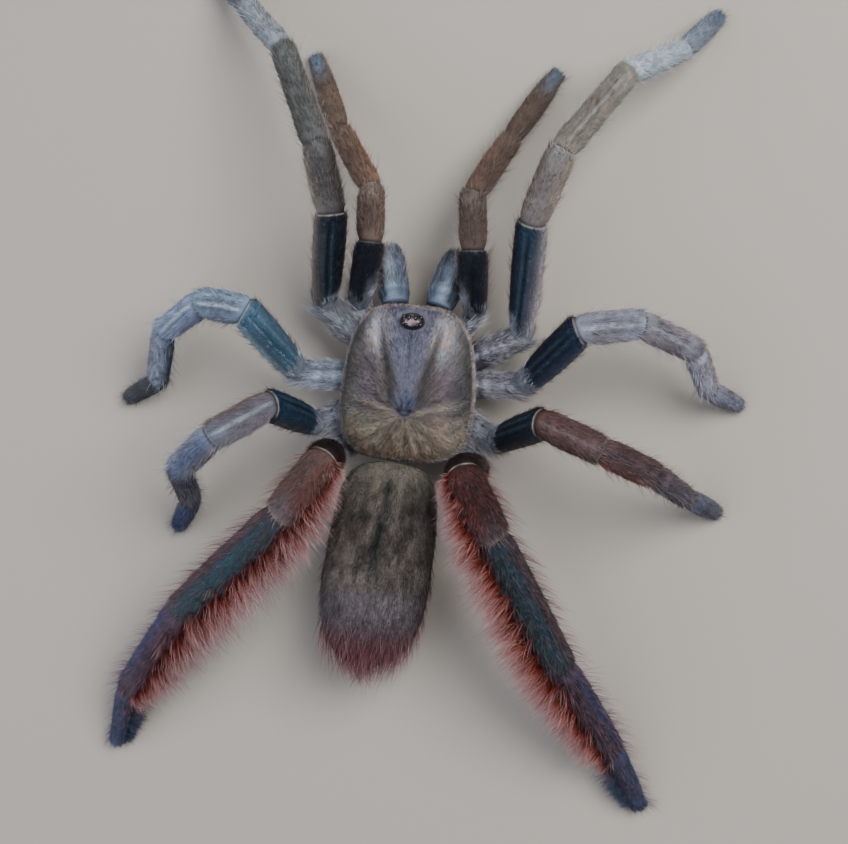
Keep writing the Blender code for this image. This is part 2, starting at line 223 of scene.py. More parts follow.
def joined(pieces):
    # one set of arrays from several: the corners of all quads come before those of all triangles
    starts = np.cumsum([0] + [len(p["points"]) for p in pieces])
    made = dict(mapSplit=sum(p["mapSplit"] for p in pieces))
    for kind in ("quads", "triangles"):
        made[kind] = np.concatenate([p[kind] + s for p, s in zip(pieces, starts)])
    maps = [p["map"][:p["mapSplit"]] for p in pieces] + [p["map"][p["mapSplit"]:] for p in pieces]
    made["map"] = np.concatenate(maps)
    for name in pieces[0]:
        if name not in made:
            made[name] = np.concatenate([p[name] for p in pieces])
    return made


def added(name, data):
    obj = bpy.data.objects.new(name, data)
    bpy.context.scene.collection.objects.link(obj)
    return obj


def makePiece(name, arrays, finish, slot, *nodes):
    # a finished piece; every array beside its shape and map becomes a point attribute
    mesh = bpy.data.meshes.new(name)
    points = (arrays["points"] + bodyCentre) * mm
    quads, triangles = arrays["quads"], arrays["triangles"]
    loops = np.concatenate([quads.ravel(), triangles.ravel()])
    starts = np.concatenate([np.arange(len(quads)) * 4, quads.size + np.arange(len(triangles)) * 3])
    mesh.vertices.add(len(points))
    mesh.loops.add(len(loops))
    mesh.polygons.add(len(starts))

    def fill(items, key, values, kind=np.float32):
        items.foreach_set(key, values.astype(kind).ravel())

    fill(mesh.vertices, "co", points)
    fill(mesh.loops, "vertex_index", loops, np.int32)
    fill(mesh.polygons, "loop_start", starts, np.int32)
    fill(mesh.polygons, "use_smooth", np.ones(len(starts)), bool)
    mesh.update(calc_edges=True)
    for key, values in arrays.items():
        if key in ("points", "quads", "triangles", "map", "mapSplit"):
            continue
        if values.shape[-1] == 3:
            layer = mesh.attributes.new(key, "FLOAT_COLOR", "POINT")
            fill(layer.data, "color", np.column_stack([values, np.ones(len(values))]))
        else:
            layer = mesh.attributes.new(key, "FLOAT", "POINT")
            fill(layer.data, "value", values)
    fill(mesh.uv_layers.new(name="OFBake").data, "uv", arrays["map"])
    mesh.validate()
    mesh.materials.append(finish)
    obj = added(name, mesh)
    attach(obj, "root")
    if nodes:
        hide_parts(*nodes)
    print(f"{name}: {len(quads) * 2 + len(triangles)} triangles")


# Hip beside the body (out, back, up) and the length of each joint from there, as in the solids.
limbJoints = {
    "palp": dict(hip=(7.0, -8.6, 6.8), lengths=(9.5, 7.9, 9.6, 9.8)),
    "leg1": dict(hip=(11.1, -8.3, 6.6), lengths=(15.2, 9.0, 13.3, 10.3, 7.2)),
    "leg2": dict(hip=(13.5, -1.1, 6.3), lengths=(14.4, 7.6, 8.3, 7.5, 5.6)),
    "leg3": dict(hip=(10.7, 5.9, 6.2), lengths=(12.1, 7.5, 8.6, 9.5, 6.2)),
    "leg4": dict(hip=(8.7, 9.3, 6.2), lengths=(13.5, 9.1, 18.3, 15.0, 8.2)),
}
# How far a hip is carried outwards and back from there.
hipShift = {"leg1_right": (1.6, 1.5), "leg2_left": (0.0, 1.0)}
# (bearing, rise) of each joint in degrees: bearing 0 points forward and grows outwards, and the
# foot's own rise brings its tip to footHeight.
limbPose = {
    "palp_left": ((-9, 35), (8, -32), (35, -25), (25, 0)),
    "palp_right": ((-5, 35), (-7, -31), (26, -25), (29, 0)),
    "leg1_left": ((-6, 46), (20, -22), (26, -15), (46, -34), (48, 0)),
    "leg1_right": ((1, 29), (18, 18), (33, -24), (56, -38), (38, 0)),
    "leg2_left": ((39, 54), (84, -38), (124, -38), (170, -31), (120, 0)),
    "leg2_right": ((41, 50), (78, -24), (109, -29), (150, -46), (110, 0)),
    "leg3_left": ((65, 66), (125, 19), (134, -41), (182, -62), (148, 0)),
    "leg3_right": ((62, 58), (109, 14), (111, -34), (120, -55), (113, 0)),
    "leg4_left": ((90, 93), (147, -20), (138, -16), (148, -28), (168, 0)),
    "leg4_right": ((90, 93), (152, -25), (148, -15), (145, -30), (150, 0)),
}
footHeight = 1.0
# Where a coxa leaves the sternum, its height over its width and its half-widths along it.
coxa = dict(share=0.42, height=4.8, depth=0.92, girth=(2.0, 2.2, 1.7), palpGirth=(1.7, 1.7, 1.4))
palpNames = ("coxa", "femur", "patella", "tibia", "tarsus")
legNames = ("coxa", "femur", "patella", "tibia", "metatarsus", "tarsus")
soleLift = 0.12  # the skin of a foot over the floor, for its pad of hair
# How deep the skin lies under the solid's surface: the room for the coat.
coatDepth = dict(coxa=0.5, femur=0.2, patella=0.34, tibia=0.36, metatarsus=0.38, tarsus=0.36)


def heading(side, bearing, rise):
    # unit vector of a bearing and a rise
    turn, lift = math.radians(bearing), math.radians(rise)
    level = math.cos(lift)
    return np.array([side * level * math.sin(turn), -level * math.cos(turn), math.sin(lift)])


def limbChain(name):
    # the points between a limb's joints: each joint's length along its heading
    kind, sideName = name.split("_")
    side = sides[sideName]
    out, back, up = limbJoints[kind]["hip"]
    furtherOut, furtherBack = hipShift.get(name, (0, 0))
    hip = np.array([side * (out + furtherOut), back + furtherBack, up])
    points = [np.array([hip[0] * coxa["share"], hip[1] * coxa["share"], coxa["height"]]), hip]
    lengths = limbJoints[kind]["lengths"]
    for k, (bearing, rise) in enumerate(limbPose[name]):
        if k == len(lengths) - 1:
            rise = math.degrees(math.asin((footHeight - points[-1][2]) / lengths[k]))
        points.append(points[-1] + lengths[k] * heading(side, bearing, rise))
    return np.array(points)


def makeLimb(name, side, points, names, nodes):
    # A limb's measures: a frame carried along its joints without twist, and the roll from it that
    # puts angle 0 on top.
    along = unit(np.diff(points, axis=0))
    length = np.linalg.norm(np.diff(points, axis=0), axis=1)
    upper = [unit(np.array([0, 0, 1.0]) - along[0] * along[0, 2])]
    for before, after in zip(along[:-1], along[1:]):
        turn = Vector(before).rotation_difference(Vector(after))
        upper.append(np.array(turn @ Vector(upper[-1])))
    upper = np.array(upper)
    across = np.cross(upper, along)
    level = unit(np.array([0, 0, 1.0]) - along * along[:, 2:])
    roll = np.arctan2((level * across).sum(1), (level * upper).sum(1))
    if "femur" in names:  # it can stand upright, so its upper side follows the patella's
        roll[1] = roll[2]
    roll = np.unwrap(roll)
    lean = np.zeros((2, len(along), 3))  # into the bend, as long as the tangent of half its angle
    if len(along) > 1:
        cosine = (along[:-1] * along[1:]).sum(1, keepdims=True)
        half = np.tan(np.arccos(np.clip(cosine, -1, 1)) / 2)
        lean[0, 1:] = unit(along[1:] * cosine - along[:-1]) * half
        lean[1, :-1] = unit(along[1:] - along[:-1] * cosine) * half
    limb = SimpleNamespace(
        name=name, side=side, names=names, points=points, length=length,
        along=along, upper=upper, across=across, roll=roll, lean=lean,
    )
    measure(limb, nodes)
    return limb


def longLimb(name):
    # a leg or a palp, from the joints' own solids
    kind, sideName = name.split("_")
    names = palpNames if kind == "palp" else legNames
    nodes = ["underside"] + [f"{name}_{joint}" for joint in names[1:]]
    return makeLimb(name, sides[sideName], limbChain(name), names, nodes)


def outward(limb, k, u, a):
    # unit vector across a limb at angle a from its upper side, a > 0 on its rear side
    g = limb.side * a + np.interp(u, np.arange(len(limb.roll)) + 0.5, limb.roll)
    return np.cos(g)[..., None] * limb.upper[k] + np.sin(g)[..., None] * limb.across[k]


def measure(limb, nodes):
    # Half-widths of each joint's solid above, in front and behind, as parabolas along the joint.
    # The underside holds all the coxae, so theirs come from three half-widths: near, middle, far.
    t = np.array([0.22, 0.36, 0.5, 0.7, 0.9])
    fits = []
    for k, node in enumerate(nodes):
        if node == "underside":
            near, middle, far = coxa["palpGirth" if "palp" in limb.name else "girth"]
            wide = np.array([2 * near - 4 * middle + 2 * far, 4 * middle - 3 * near - far, near])
            fits.append([wide * coxa["depth"], wide, wide])
            continue
        triangles = solidOf(node)
        origins = limb.points[k] + limb.along[k] * limb.length[k] * t[:, None]
        fits.append([])
        for a in (0, -math.pi / 2, math.pi / 2):
            out = outward(limb, k, np.array(k + 0.5), np.array(a))
            ray = castRays(triangles, origins, np.broadcast_to(out, origins.shape))
            fits[-1].append(np.polyfit(t, ray, 2))
    fits = np.array(fits)
    limb.halfUp, limb.halfSide = fits[:, 0], fits[:, 1]
    limb.brush = fits[:, 2] - fits[:, 1]  # what the solid has behind beyond what it has in front
    far, near = fits[:, 0].sum(1), fits[:, 0, 2]
    meet = (far[:-1] + near[1:]) / 2
    limb.toFar = np.append(meet / far[:-1] - 1, 0)
    limb.toNear = np.append(0, meet / near[1:] - 1)


def parabola(fit, k, t):
    # fit of joint k: square, slope and constant, at the share t along it
    return fit[k, 0] * t * t + fit[k, 1] * t + fit[k, 2]


def split(limb, u):
    # the joint that u lies on and the share of it run through, which passes 1 past the last joint
    k = np.minimum(u.astype(int), len(limb.length) - 1)
    return k, u - k


def skinRadius(limb, k, t, a):
    # an ellipse across the joint, less the coat's depth, swollen near its ends and nipped at them
    depth = np.array([coatDepth.get(n, 0.3) for n in limb.names])[k]
    t = np.clip(t, 0, 1)
    meet = 1 + limb.toFar[k] * t ** 8 + limb.toNear[k] * (1 - t) ** 8
    high = parabola(limb.halfUp, k, t) * meet - depth
    wide = parabola(limb.halfSide, k, t) * meet - depth
    radius = 1 / np.sqrt((np.cos(a) / high) ** 2 + (np.sin(a) / wide) ** 2)
    ends = np.minimum(t, np.where(k == len(limb.length) - 1, 1, 1 - t)) * limb.length[k]
    nip = np.where((k > 0) & (k < 3), 0.08, 0.13)
    collar = 0.035 * bell(ends, 1.5, 0.9) - nip * bell(ends, 0, 0.55)
    if "coxa" in limb.names:
        collar = collar - np.where(k == 0, 0.16 * bell(t, 0.72, 0.05), 0)
    if limb.names[0] == "chelicera":
        collar = 0.4 * ramp(t, 0.45, 1.0) - 0.12 * ramp(t, 0.25, 0)
    return radius * (1 + collar)


def onLimb(limb, u, a):
    # Point, normal and outward-running direction at u joints along a limb and angle a round it.
    # Each line along a joint starts and ends on the planes that halve the bends; on the outer side
    # of a bend it runs on over a sphere. Past the last joint the tip closes as a dome.
    k, t = split(limb, u)
    dome = np.clip(t - 1, 0, 1) * math.pi / 2
    blunt = 0.6 if limb.names[0] == "chelicera" else 1.0  # the dome's height over its radius
    t = np.minimum(t, 1)
    length = limb.length[k]
    out = outward(limb, k, u, a)
    radius = skinRadius(limb, k, t, a)
    near = (out * limb.lean[0, k]).sum(-1)
    far = (out * limb.lean[1, k]).sum(-1)
    start = radius * np.where(near > 0, near, near / np.sqrt(1 + near ** 2))
    end = length - radius * np.where(far > 0, far, far / np.sqrt(1 + far ** 2))
    z = start + (end - start) * t
    over = np.maximum(z - length, 0) - np.maximum(-z, 0)
    width = np.sqrt(np.maximum(radius ** 2 - over ** 2, 0))
    over = over + radius * np.sin(dome)
    z = z + blunt * radius * np.sin(dome)
    width = width * np.cos(dome)
    along = limb.along[k]
    point = limb.points[k] + along * z[..., None] + out * width[..., None]
    normal = unit(out * np.maximum(width, 1e-3)[..., None] + along * over[..., None])
    course = laidFlat(along, normal, 0.999)  # never nought, even on the dome's pole
    point[..., 2] = np.maximum(point[..., 2], soleLift)
    return point, normal, course


def shades(codes, lines=()):
    # tones of the upper side, the two flanks, the lower side and the far end, and lengthwise lines:
    # (degrees from the top, width in degrees, strength, tone). The flanks' and lower side's tones
    # are darker, partly as painted shade.
    *around, end = [tone(code) for code in codes.split()]
    return dict(round=around, end=end, lines=lines)


# Lengthwise lines of the limbs.
paleLine = ((0, 7, 0.6, "c0c8d2"),)
warmLine = ((0, 6, 0.35, "b0a0a4"),)
coxaLines = ((32, 9, 0.75, "2a2630"), (-34, 9, 0.7, "2a2630"), (2, 10, 0.6, "d4dae8"))
femurLines = (
    (0, 4, 0.7, "0a0e14"), (15, 4, 0.5, "566a7c"),
    (-15, 4, 0.5, "566a7c"), (42, 5, 0.35, "404e5c"),
)
# Leg II's left femur: a dark middle line of its own, and pale lines that are painted sheen along
# its top.
linesAndPaintedSheen = (
    (-4, 3, 0.95, "0c141c"), (6, 3, 0.85, "c0d0dc"),
    (-24, 5, 0.55, "8ca8bc"), (34, 6, 0.5, "243644"),
)
tealLines = ((17, 29, 0.8, "284650"), (-14, 12, 0.65, "38566a"), (-52, 9, 0.4, "74545c"))
# Leg II's left patella and tibia: dark lines of their own, and pale lines that are painted
# highlights along the top.
linesAndPaintedHighlights = (
    (12, 5, 0.55, "2c3a4e"), (-16, 5, 0.5, "34445a"),
    (-2, 5, 0.75, "dce8f0"), (-34, 6, 0.5, "c4d4e2"),
)
edgedLine = ((20, 6, 0.75, "2a303a"), (-20, 6, 0.75, "2a303a"), *paleLine)
streaks = (
    (14, 5, 0.45, "444a4c"), (-12, 5, 0.45, "444a4c"),
    (1, 5, 0.4, "b4babc"), (-34, 6, 0.4, "50585c"),
)
blueEdge = ((-46, 16, 0.6, "3a5680"), (12, 10, 0.4, "342c36"))
jawStripes = (
    (24, 6, 0.95, "0c1018"), (46, 8, 0.9, "10151f"),
    (-30, 5, 0.7, "1c2230"), (2, 13, 0.7, "ccd8ea"),
)
rustLine = ((18, 9, 0.5, "7c4030"),)
paleRustLine = ((18, 9, 0.4, "7c4030"),)
limbPaint = {
    "coxa": shades("b2bad0 98939f a49ca4 4a4048 c6cee0", coxaLines),
    "femur": shades("141e2c 282630 2e323e 35302e 1c2836", femurLines),
    "chelicera": shades("8c9cb4 6c7288 5c5a6c 302830 98a6bc", jawStripes),
    "spinneret": shades("6a4a50 5c4046 5c4046 34282a 6a4a50"),
    "palp femur": shades("121924 2e2c38 3a3a48 35302e 1a2230", femurLines[:1]),
    "palp patella": shades("665854 705e56 665450 322a28 a0948e"),
    "palp tibia": shades("746058 8e7262 725e56 362c28 8a7a72"),
    "palp tarsus": shades("6a5c54 726258 625652 343e4c 7c94b0"),
    "leg1_right coxa": shades("5c5a6c 4a4650 5c5664 342e34 8a8a98", coxaLines),
    "leg1_left femur": shades("18222f 101620 a49a98 463e3c 202c3a", femurLines),
    "leg1_right femur": shades("1e2e42 26242c b4aeb6 564e4c 263a50", femurLines),
    "leg1 patella": shades("747070 70645e 968a82 322e2e 9a9c9e"),
    # painted light and shade: leg I's left patella is painted near black on its front flank and
    # pale on its rear flank
    "leg1_left patella": shades("5a585c 2e2420 b0a69c 282422 8a8c90"),
    "leg1 tibia": shades("7c746e 847a72 868078 3c3836 9c9892"),
    "leg1_left tibia": shades("6c7072 7e7c7a 6c6a66 34322f 8c9496"),
    "leg1_right tibia": shades("88807a 8c8882 82827e 3e3c3a a4a29e", streaks),
    "leg1 metatarsus": shades("c4d0dc d0d6dc b4bec8 444e5c bcc6d4"),
    "leg1 tarsus": shades("7a8696 868c9c 7e8894 2c3644 4c5c74"),
    "leg2_left coxa": shades("b8c8de a4b2c6 a8a8b8 4a4048 c8d8ea", coxaLines),
    "leg2_right coxa": shades("908e9e 7c7684 8e858e 443c44 a2a0b0", coxaLines),
    # painted sheen: leg II's left femur is painted pale blue where the right one is near black, for
    # the light it catches
    "leg2_left femur": shades("527088 5c6c7c aabaca 505458 6c8aa6", linesAndPaintedSheen),
    "leg2_right femur": shades("142036 2a2830 424c66 35302e 1c2c44", femurLines),
    "leg2 patella": shades("9496a8 9a9eae 9c9ca8 42444e 9ca8b8", edgedLine),
    "leg2_left patella": shades("7c8aa0 8a9cb4 6c7080 3a3c46 98aabe", linesAndPaintedHighlights),
    "leg2 tibia": shades("7e7c88 a4a0a8 a49ca4 42424a 989aaa", paleLine),
    "leg2_left tibia": shades("92a0be 9aa2bc 848aa0 3a3c48 98a8c0", linesAndPaintedHighlights),
    "leg2 metatarsus": shades("bcbece 9c9496 9a9eb0 30343e b0b4c4"),
    "leg2_left metatarsus": shades("8e98ac 8a828e 28364a 1c2c3c 8890a2"),
    "leg2 tarsus": shades("82869a 888290 7a7c88 242c3a 8c92a6"),
    "leg2_left tarsus": shades("3c4048 50525c 262a34 161c26 464a54"),
    "leg3_left femur": shades("1a3048 2a2a34 3a485a 302e30 28405a", femurLines),
    "leg3_left patella": shades("666472 786a68 96929e 32302e 7a8494", paleLine),
    "leg3_right patella": shades("685050 5c403c 584040 2a201e 766468", warmLine),
    "leg3_left tibia": shades("6e7a98 a8acba 9a949e 2e323e 7884a4"),
    "leg3_right tibia": shades("5e4c54 644a4a 8a5a50 2a2020 685a64"),
    "leg3_left metatarsus": shades("5e5e6e 60565e 565866 2a2c36 4a4e60"),
    "leg3_right metatarsus": shades("6e6676 7a6a72 706672 2e2a30 7a7888"),
    "leg3_left tarsus": shades("3a4870 464e68 3a4468 1a2238 2c3c6c"),
    "leg3_right tarsus": shades("666c80 7c8290 686c80 28303e 848a9c"),
    "leg4 femur": shades("241a1c 362828 40282a 2a2022 221818"),
    "leg4 patella": shades("46282a 543432 703c3c 2c1a18 706c74", rustLine),
    "leg4_left patella": shades("604c4a 64504a 846058 2c1a18 7c7882", paleRustLine),
    "leg4 tibia": shades("2a3a44 524850 4c1a16 2a1c1c 4a5662", tealLines),
    "leg4_left tibia": shades("343c46 5a464e 6c4450 2a1c1c 4a5662", tealLines),
    "leg4 metatarsus": shades("54485a 625470 66201e 261c20 6c5a6c", blueEdge),
    "leg4 tarsus": shades("4c4c64 505c80 3a3c50 1e2436 44587e"),
}
# Painted light: how much lighter or darker a whole limb is painted than its kind's paint, for the
# light that falls on it.
limbPaintedLight = dict(
    palp_left=1.4, leg1_right=1.45, leg2_left=1.7, leg2_right=1.35,
    leg3_left=1.35, leg4_left=1.35, leg4_right=0.95,
)


def limbPaintFor(limb, joint):
    # a limb's own paint, or its kind's, or the joint's
    for owner in (f"{limb.name} ", limb.name.split("_")[0] + " ", ""):
        if owner + joint in limbPaint:
            return limbPaint[owner + joint]


def limbTone(limb, u, a, points):
    # Tones of the four sides, weighed by the squares of the angle's cosine and sine, the flanks and
    # lower side darker partly as painted shade, then the lengthwise lines, pale hair at the femur's
    # base, pale arcs at far ends and dark near ends.
    k, t = split(limb, u)
    c, s = np.cos(a), np.sin(a)
    # the lower side's and the flanks' tones are painted darker, partly as painted shade and partly
    # in their own colours
    weights = [np.maximum(side, 0) ** 2 for side in (c, -s, s, -c)]
    degrees = np.degrees(a)
    speckle = patches(points, 0.9)
    made = np.zeros(points.shape)
    for joint, jointName in enumerate(limb.names):
        paint = limbPaintFor(limb, jointName)
        base = sum(weight[..., None] * side for weight, side in zip(weights, paint["round"]))
        base = mixed(base, paint["end"], ramp(t, 0.55, 1.0) * weights[0] * 0.8)
        for middle, width, strength, code in paint["lines"]:
            share = strength * bell(degrees, middle, width) * ramp(t, 0.02, 0.12)
            base = mixed(base, code, share * ramp(t, 1.0, 0.8))
        made = np.where((k == joint)[..., None], base, made)
    walks, palp, hind = limb.names[0] == "coxa", "palp" in limb.name, "leg4" in limb.name
    # painted light: the whole limb, its femur aside, is made lighter or darker for how the light
    # falls on it
    paintedGain = np.where((k == 1) & walks, 1.0, limbPaintedLight.get(limb.name, 1.0))
    made = made * ((0.78 + 0.44 * speckle) * paintedGain)[..., None]
    if walks and not hind:
        reach = (0.03 if "leg1" in limb.name else 0.11) + 0.13 * patches(points + 30, 0.8)
        base = np.where(k == 1, ramp(reach - t, -0.04, 0.05), 0) * 0.85
        if palp:  # and up the inner side
            inner = ramp(-degrees, 5, 50) * ramp(0.34 + 0.2 * speckle - t, -0.12, 0.12)
            base = np.where(k == 1, np.maximum(base * 0.4, inner * 0.7), 0)
        made = mixed(made, mixed("747a8e", "d4dae6", patches(points, 0.4)), base)
    if limb.names[0] == "chelicera":
        made = mixed(made, "1a3250", bell(t, 0.15, 0.035) * 0.85)
        made = mixed(made, "b0d0dc", bell(t, 0.22, 0.03) * 0.7)
    # Distances to the joint's ends run over the sphere on the outer side of a bend.
    out = outward(limb, k, u, a)
    near, far = ((out * limb.lean[end, k]).sum(-1) for end in (0, 1))
    fromNear = t * limb.length[k] * np.where(near < 0, 1 + near ** 2, 1)
    fromFar = (1 - t) * limb.length[k] * np.where(far < 0, 1 + far ** 2, 1)
    top = ramp(c, 0.1, 0.5) * (0.6 + 0.6 * patches(points + 60, 0.5))
    arc = np.where(k < len(limb.length) - 1, bell(fromFar, 0.2, 0.085), 0) * top
    knee = 0.25 if palp else 0.6 if hind else 0.85
    made = mixed(made, "dcd2ca", arc * np.where(k == 1, knee, np.where(k == 2, 0.45, 0.12)))
    if hind:
        made = mixed(made, "c8b4b8", np.where(k == 2, bell(fromFar, 0.3, 0.4), 0) * top * 0.6)
    return mixed(made, "14120f", np.where(k > 0, bell(fromNear, 0, 0.22), 0) * 0.7)


def carapaceTone(points):
    # Dark streaked flanks, a mottled olive and tan rear, pale front corners, a blue-grey band over
    # the head that narrows to the fovea between dark grooves, and the fovea's own arc and stem.
    x, y = points[..., 0], points[..., 1]
    wide = np.abs(x)
    turn = np.arctan2(x, shell["foveaY"] - y)
    away = np.hypot(x, y - shell["foveaY"])
    warp = patches(points + 15, 1.9) * 2.4
    spokes = patches(stacked(turn * 5 + warp * 1.5, away * 0.45, x * 0), 1.0)
    fine = patches(stacked(turn * 20 + warp * 4, away * 1.3, x * 0 + 3), 1.0)
    fine = 0.6 * fine + 0.4 * patches(points * (1, 1, 0) + 5, 0.42)
    cloud = patches(points + 40, 2.2)
    flecks = patches(points + 80, 0.7)
    made = mixed("484448", "6c6460", cloud)
    rear = mixed("a48e7e", "828478", patches(points + 33, 1.8))
    made = mixed(made, rear, ramp(y, 2.0, 6) * (0.45 + 0.4 * flecks))
    made = mixed(made, "645a68", bell(wide, 5, 2) * bell(y, 0, 3.5) * 0.6)
    made = mixed(made, "4c5a58", ramp(wide, 4, 7) * (1 - flecks) * 0.6)
    made = made * (0.22 + 0.75 * spokes + 0.3 * cloud + 0.6 * fine)[..., None]
    front = bell(wide, 3.6, 1.8) * bell(y, -6.2, 2.8) * (0.6 + 0.7 * fine)
    made = mixed(made, mixed("cabab8", "cad2e2", flecks), np.clip(front, 0, 1))
    halfBand = 1.0 + 2.1 * ramp(-y, -3.5, 8.5)
    ragged = 0.9 * (patches(points + 22, 0.9) - 0.5)
    band = ramp(halfBand - wide + ragged, -0.7, 0.9) * ramp(y, 4.0, 2.2)
    made = mixed(made, mixed("4e5266", "84869a", fine * 0.6 + flecks * 0.4), band * 0.85)
    groove = bell(wide, halfBand + 0.55, 0.55) * ramp(y, 3.4, 1.5) * ramp(y, -8.5, -5)
    made = mixed(made, "2a2828", groove * 0.75)
    middle = bell(x, 0, 0.22) * ramp(y, -6.6, -6.0) * ramp(y, -1.2, -3.6)
    made = mixed(made, "3c4658", middle * 0.75)
    made = mixed(made, "4a5270", bell(x, 0, 1.2) * bell(y, 2.5, 1.3) * 0.55)
    arc = bell(np.hypot(x, (y - 2.9) * 0.9), 0.72, 0.24) * ramp(y, 2.5, 3.1)
    stem = bell(wide, 0.34, 0.16) * ramp(y, 1.4, 2.3) * ramp(y, 3.4, 2.8)
    made = mixed(made, "141c36", np.clip(arc + stem * 0.8, 0, 1) * 0.9)
    pale = bell(y, 3.9 - 0.3 * wide, 0.3) * ramp(wide, 0.8, 2.0) * ramp(wide, 7.0, 4.5)
    return mixed(made, "b0a498", pale * (0.25 + 0.4 * flecks))


shell = dict(
    front=shellFront, rear=9.6, halfWidth=8.2, rim=8.0, top=12.2,  # as the solid
    squareFront=4.0, squareRear=4.2,  # powers of the superellipse
    inset=0.958, foveaY=3.6, rows=120, columns=240,
)


def roundFovea(x, y):
    # distance from the fovea and turn round it from straight behind
    return np.hypot(x, y - shell["foveaY"]), np.arctan2(x, y - shell["foveaY"])


def shellPoint(level, turn):
    # The upper half of a sphere carried out to a superellipse in plan, narrowed behind and in
    # front and raised over the head; then grooves run from the fovea to between the hips.
    beside, back = np.sin(turn), np.cos(turn)
    power = np.where(back < 0, shell["squareFront"], shell["squareRear"])
    spread = level / (np.abs(beside) ** power + np.abs(back) ** power) ** (1 / power)
    x, y = beside * spread, back * spread
    z = np.sqrt(np.maximum(1 - level ** 2, 0))
    head = 0.16 * np.exp(-(((y + 0.5) / 0.45) ** 2) - (2 * x) ** 2)
    height = z ** 0.8 * (1 - 0.16 * y) + head * z
    half = (shell["rear"] - shell["front"]) / 2
    x = x * (1 + 0.07 * y - 0.12 * y * y) * shell["halfWidth"] * shell["inset"]
    y = (shell["front"] + shell["rear"]) / 2 + y * half * shell["inset"]
    z = shell["rim"] + 0.05 + height * (shell["top"] - shell["rim"]) * 0.97
    away, spin = roundFovea(x, y)
    spokes = np.cos(spin * 8) ** 4 * ramp(away, 0.8, 3) * ramp(level, 1.0, 0.75)
    halfBand = 1.1 + 2.5 * ramp(-y, -3.5, 8.5)
    neck = bell(np.abs(x), halfBand + 0.6, 0.7) * ramp(y, 3.2, 0.5) * ramp(y, -9, -5)
    pit = bell(x, 0, 1.1) * bell(y, shell["foveaY"] - 0.2, 0.35)
    z = z - 0.14 * spokes - 0.3 * neck - 0.45 * pit
    z = z + 0.12 * bell(level, 0.985, 0.02)
    return stacked(x, y, z)


def carapacePiece():
    # the shell down to its rim, then tucked under it, with a pale ragged edge
    level = np.sin(np.linspace(0.02, 0.5, shell["rows"]) * math.pi)
    level, turn = grid(level, circle(shell["columns"]))
    top = shellPoint(level, turn)
    tucked = top[-1:] * (0.985, 0.985, 1) - (0, 0, 0.12)
    inner = top[-1:] * (0.8, 0.8, 1) - (0, 0, 0.02)
    points = np.concatenate([top, tucked, inner])
    tones = carapaceTone(points)
    edge = np.concatenate([level, level[-2:] * 0 + 1])
    ragged = patches(points + 70, 0.6)
    tones = mixed(tones, "d2c8c8", ramp(edge + 0.02 * (ragged - 0.5), 0.96, 0.995) * 0.8)
    away, spin = roundFovea(points[..., 0], points[..., 1])
    return closedGrid(points, tones, (0.02, 0.02, 0.96, 0.96), away=away, spin=spin)


abdomen = dict(
    pivot=(1.2, 16.0), turn=4,  # degrees to the left
    middle=(1.5, 21.0, 8.2),  # where its rays start
    depth=0.6,  # of the coat over its skin
    rows=84, columns=96, melts=26,
)


def acrossAbdomen(points):
    # distance from its lengthwise middle
    x, y = points[..., 0] - abdomen["pivot"][0], points[..., 1] - abdomen["pivot"][1]
    return x - y * math.tan(math.radians(abdomen["turn"]))


def abdomenSurface():
    # Rays from the middle to the solid, over a sphere whose poles are its front and rear, less the
    # coat's depth and smoothed.
    polar = np.linspace(0.012, 0.988, abdomen["rows"]) * math.pi
    polar, turn = grid(polar, circle(abdomen["columns"]))
    ring = np.sin(polar)
    out = stacked(ring * np.sin(turn), -np.cos(polar), ring * np.cos(turn))
    middle = np.array(abdomen["middle"])
    flat = out.reshape(-1, 3)
    reach = castRays(solidOf("abdomen"), np.broadcast_to(middle, flat.shape), flat)
    reach = melted(reach.reshape(polar.shape), abdomen["melts"])
    front = ramp(-out[..., 1], 0.6, 0.95)  # less room for hair where it meets the carapace
    return middle + out * (reach - abdomen["depth"] * (1 - 0.75 * front))[..., None]


def gridNormals(points):
    # outward normals and areas of a closed grid's points, from the differences both ways along it
    down = np.gradient(points, axis=0)
    along = np.roll(points, -1, 1) - np.roll(points, 1, 1)
    normal = unit(np.cross(along, down))
    outwards = np.sign(((points - points.mean((0, 1))) * normal).sum(-1).mean())
    return normal * outwards, np.linalg.norm(np.cross(down, along / 2), axis=-1)


def abdomenTone(points):
    # Pale olive in front, speckled grey-brown with a broken dark line along the middle, mauve-grey
    # towards the rear and rose at the end, with painted shade darkening the lower flanks and the
    # right flank.
    x, y, z = acrossAbdomen(points), points[..., 1], points[..., 2]
    grain = patches(points * (1, 0.45, 1), 0.55)
    cloud = patches(points + 9, 2.4)
    made = mixed("423b39", "948b86", grain)
    made = mixed(made, "98948a", ramp(y, 14.5, 10.5) * (0.45 + 0.5 * grain))
    made = mixed(made, "7e7884", ramp(y, 22, 27) * (0.35 + 0.4 * grain))
    made = mixed(made, "905a66", ramp(y, 28.5, 33) * 0.8)
    drift = 0.9 * (patches(points + 50, 2.6) - 0.5)
    line = bell(x + drift, 0, 0.7) * ramp(y, 26, 20) * ramp(y, 9.5, 12.5)
    line = line * (0.35 + 0.65 * ramp(patches(points * (1, 1, 0), 1.3), 0.2, 0.6))
    made = mixed(made, "1c2627", line * 0.92)
    beside = bell(np.abs(x), 2.6, 0.7) * ramp(y, 21, 17) * ramp(y, 10.5, 13)
    made = mixed(made, "35393a", beside * patches(points + 3, 2.0) * 0.5)
    # painted shade: darker below the abdomen's middle height and along its right flank
    flank = ramp(abdomen["middle"][2] - z, -2.5, 2.5) + 0.5 * ramp(-x, 4.5, 7.5)
    made = mixed(made, "3a3032", np.clip(flank, 0, 1) * 0.7)
    return made * (0.8 + 0.4 * cloud)[..., None]


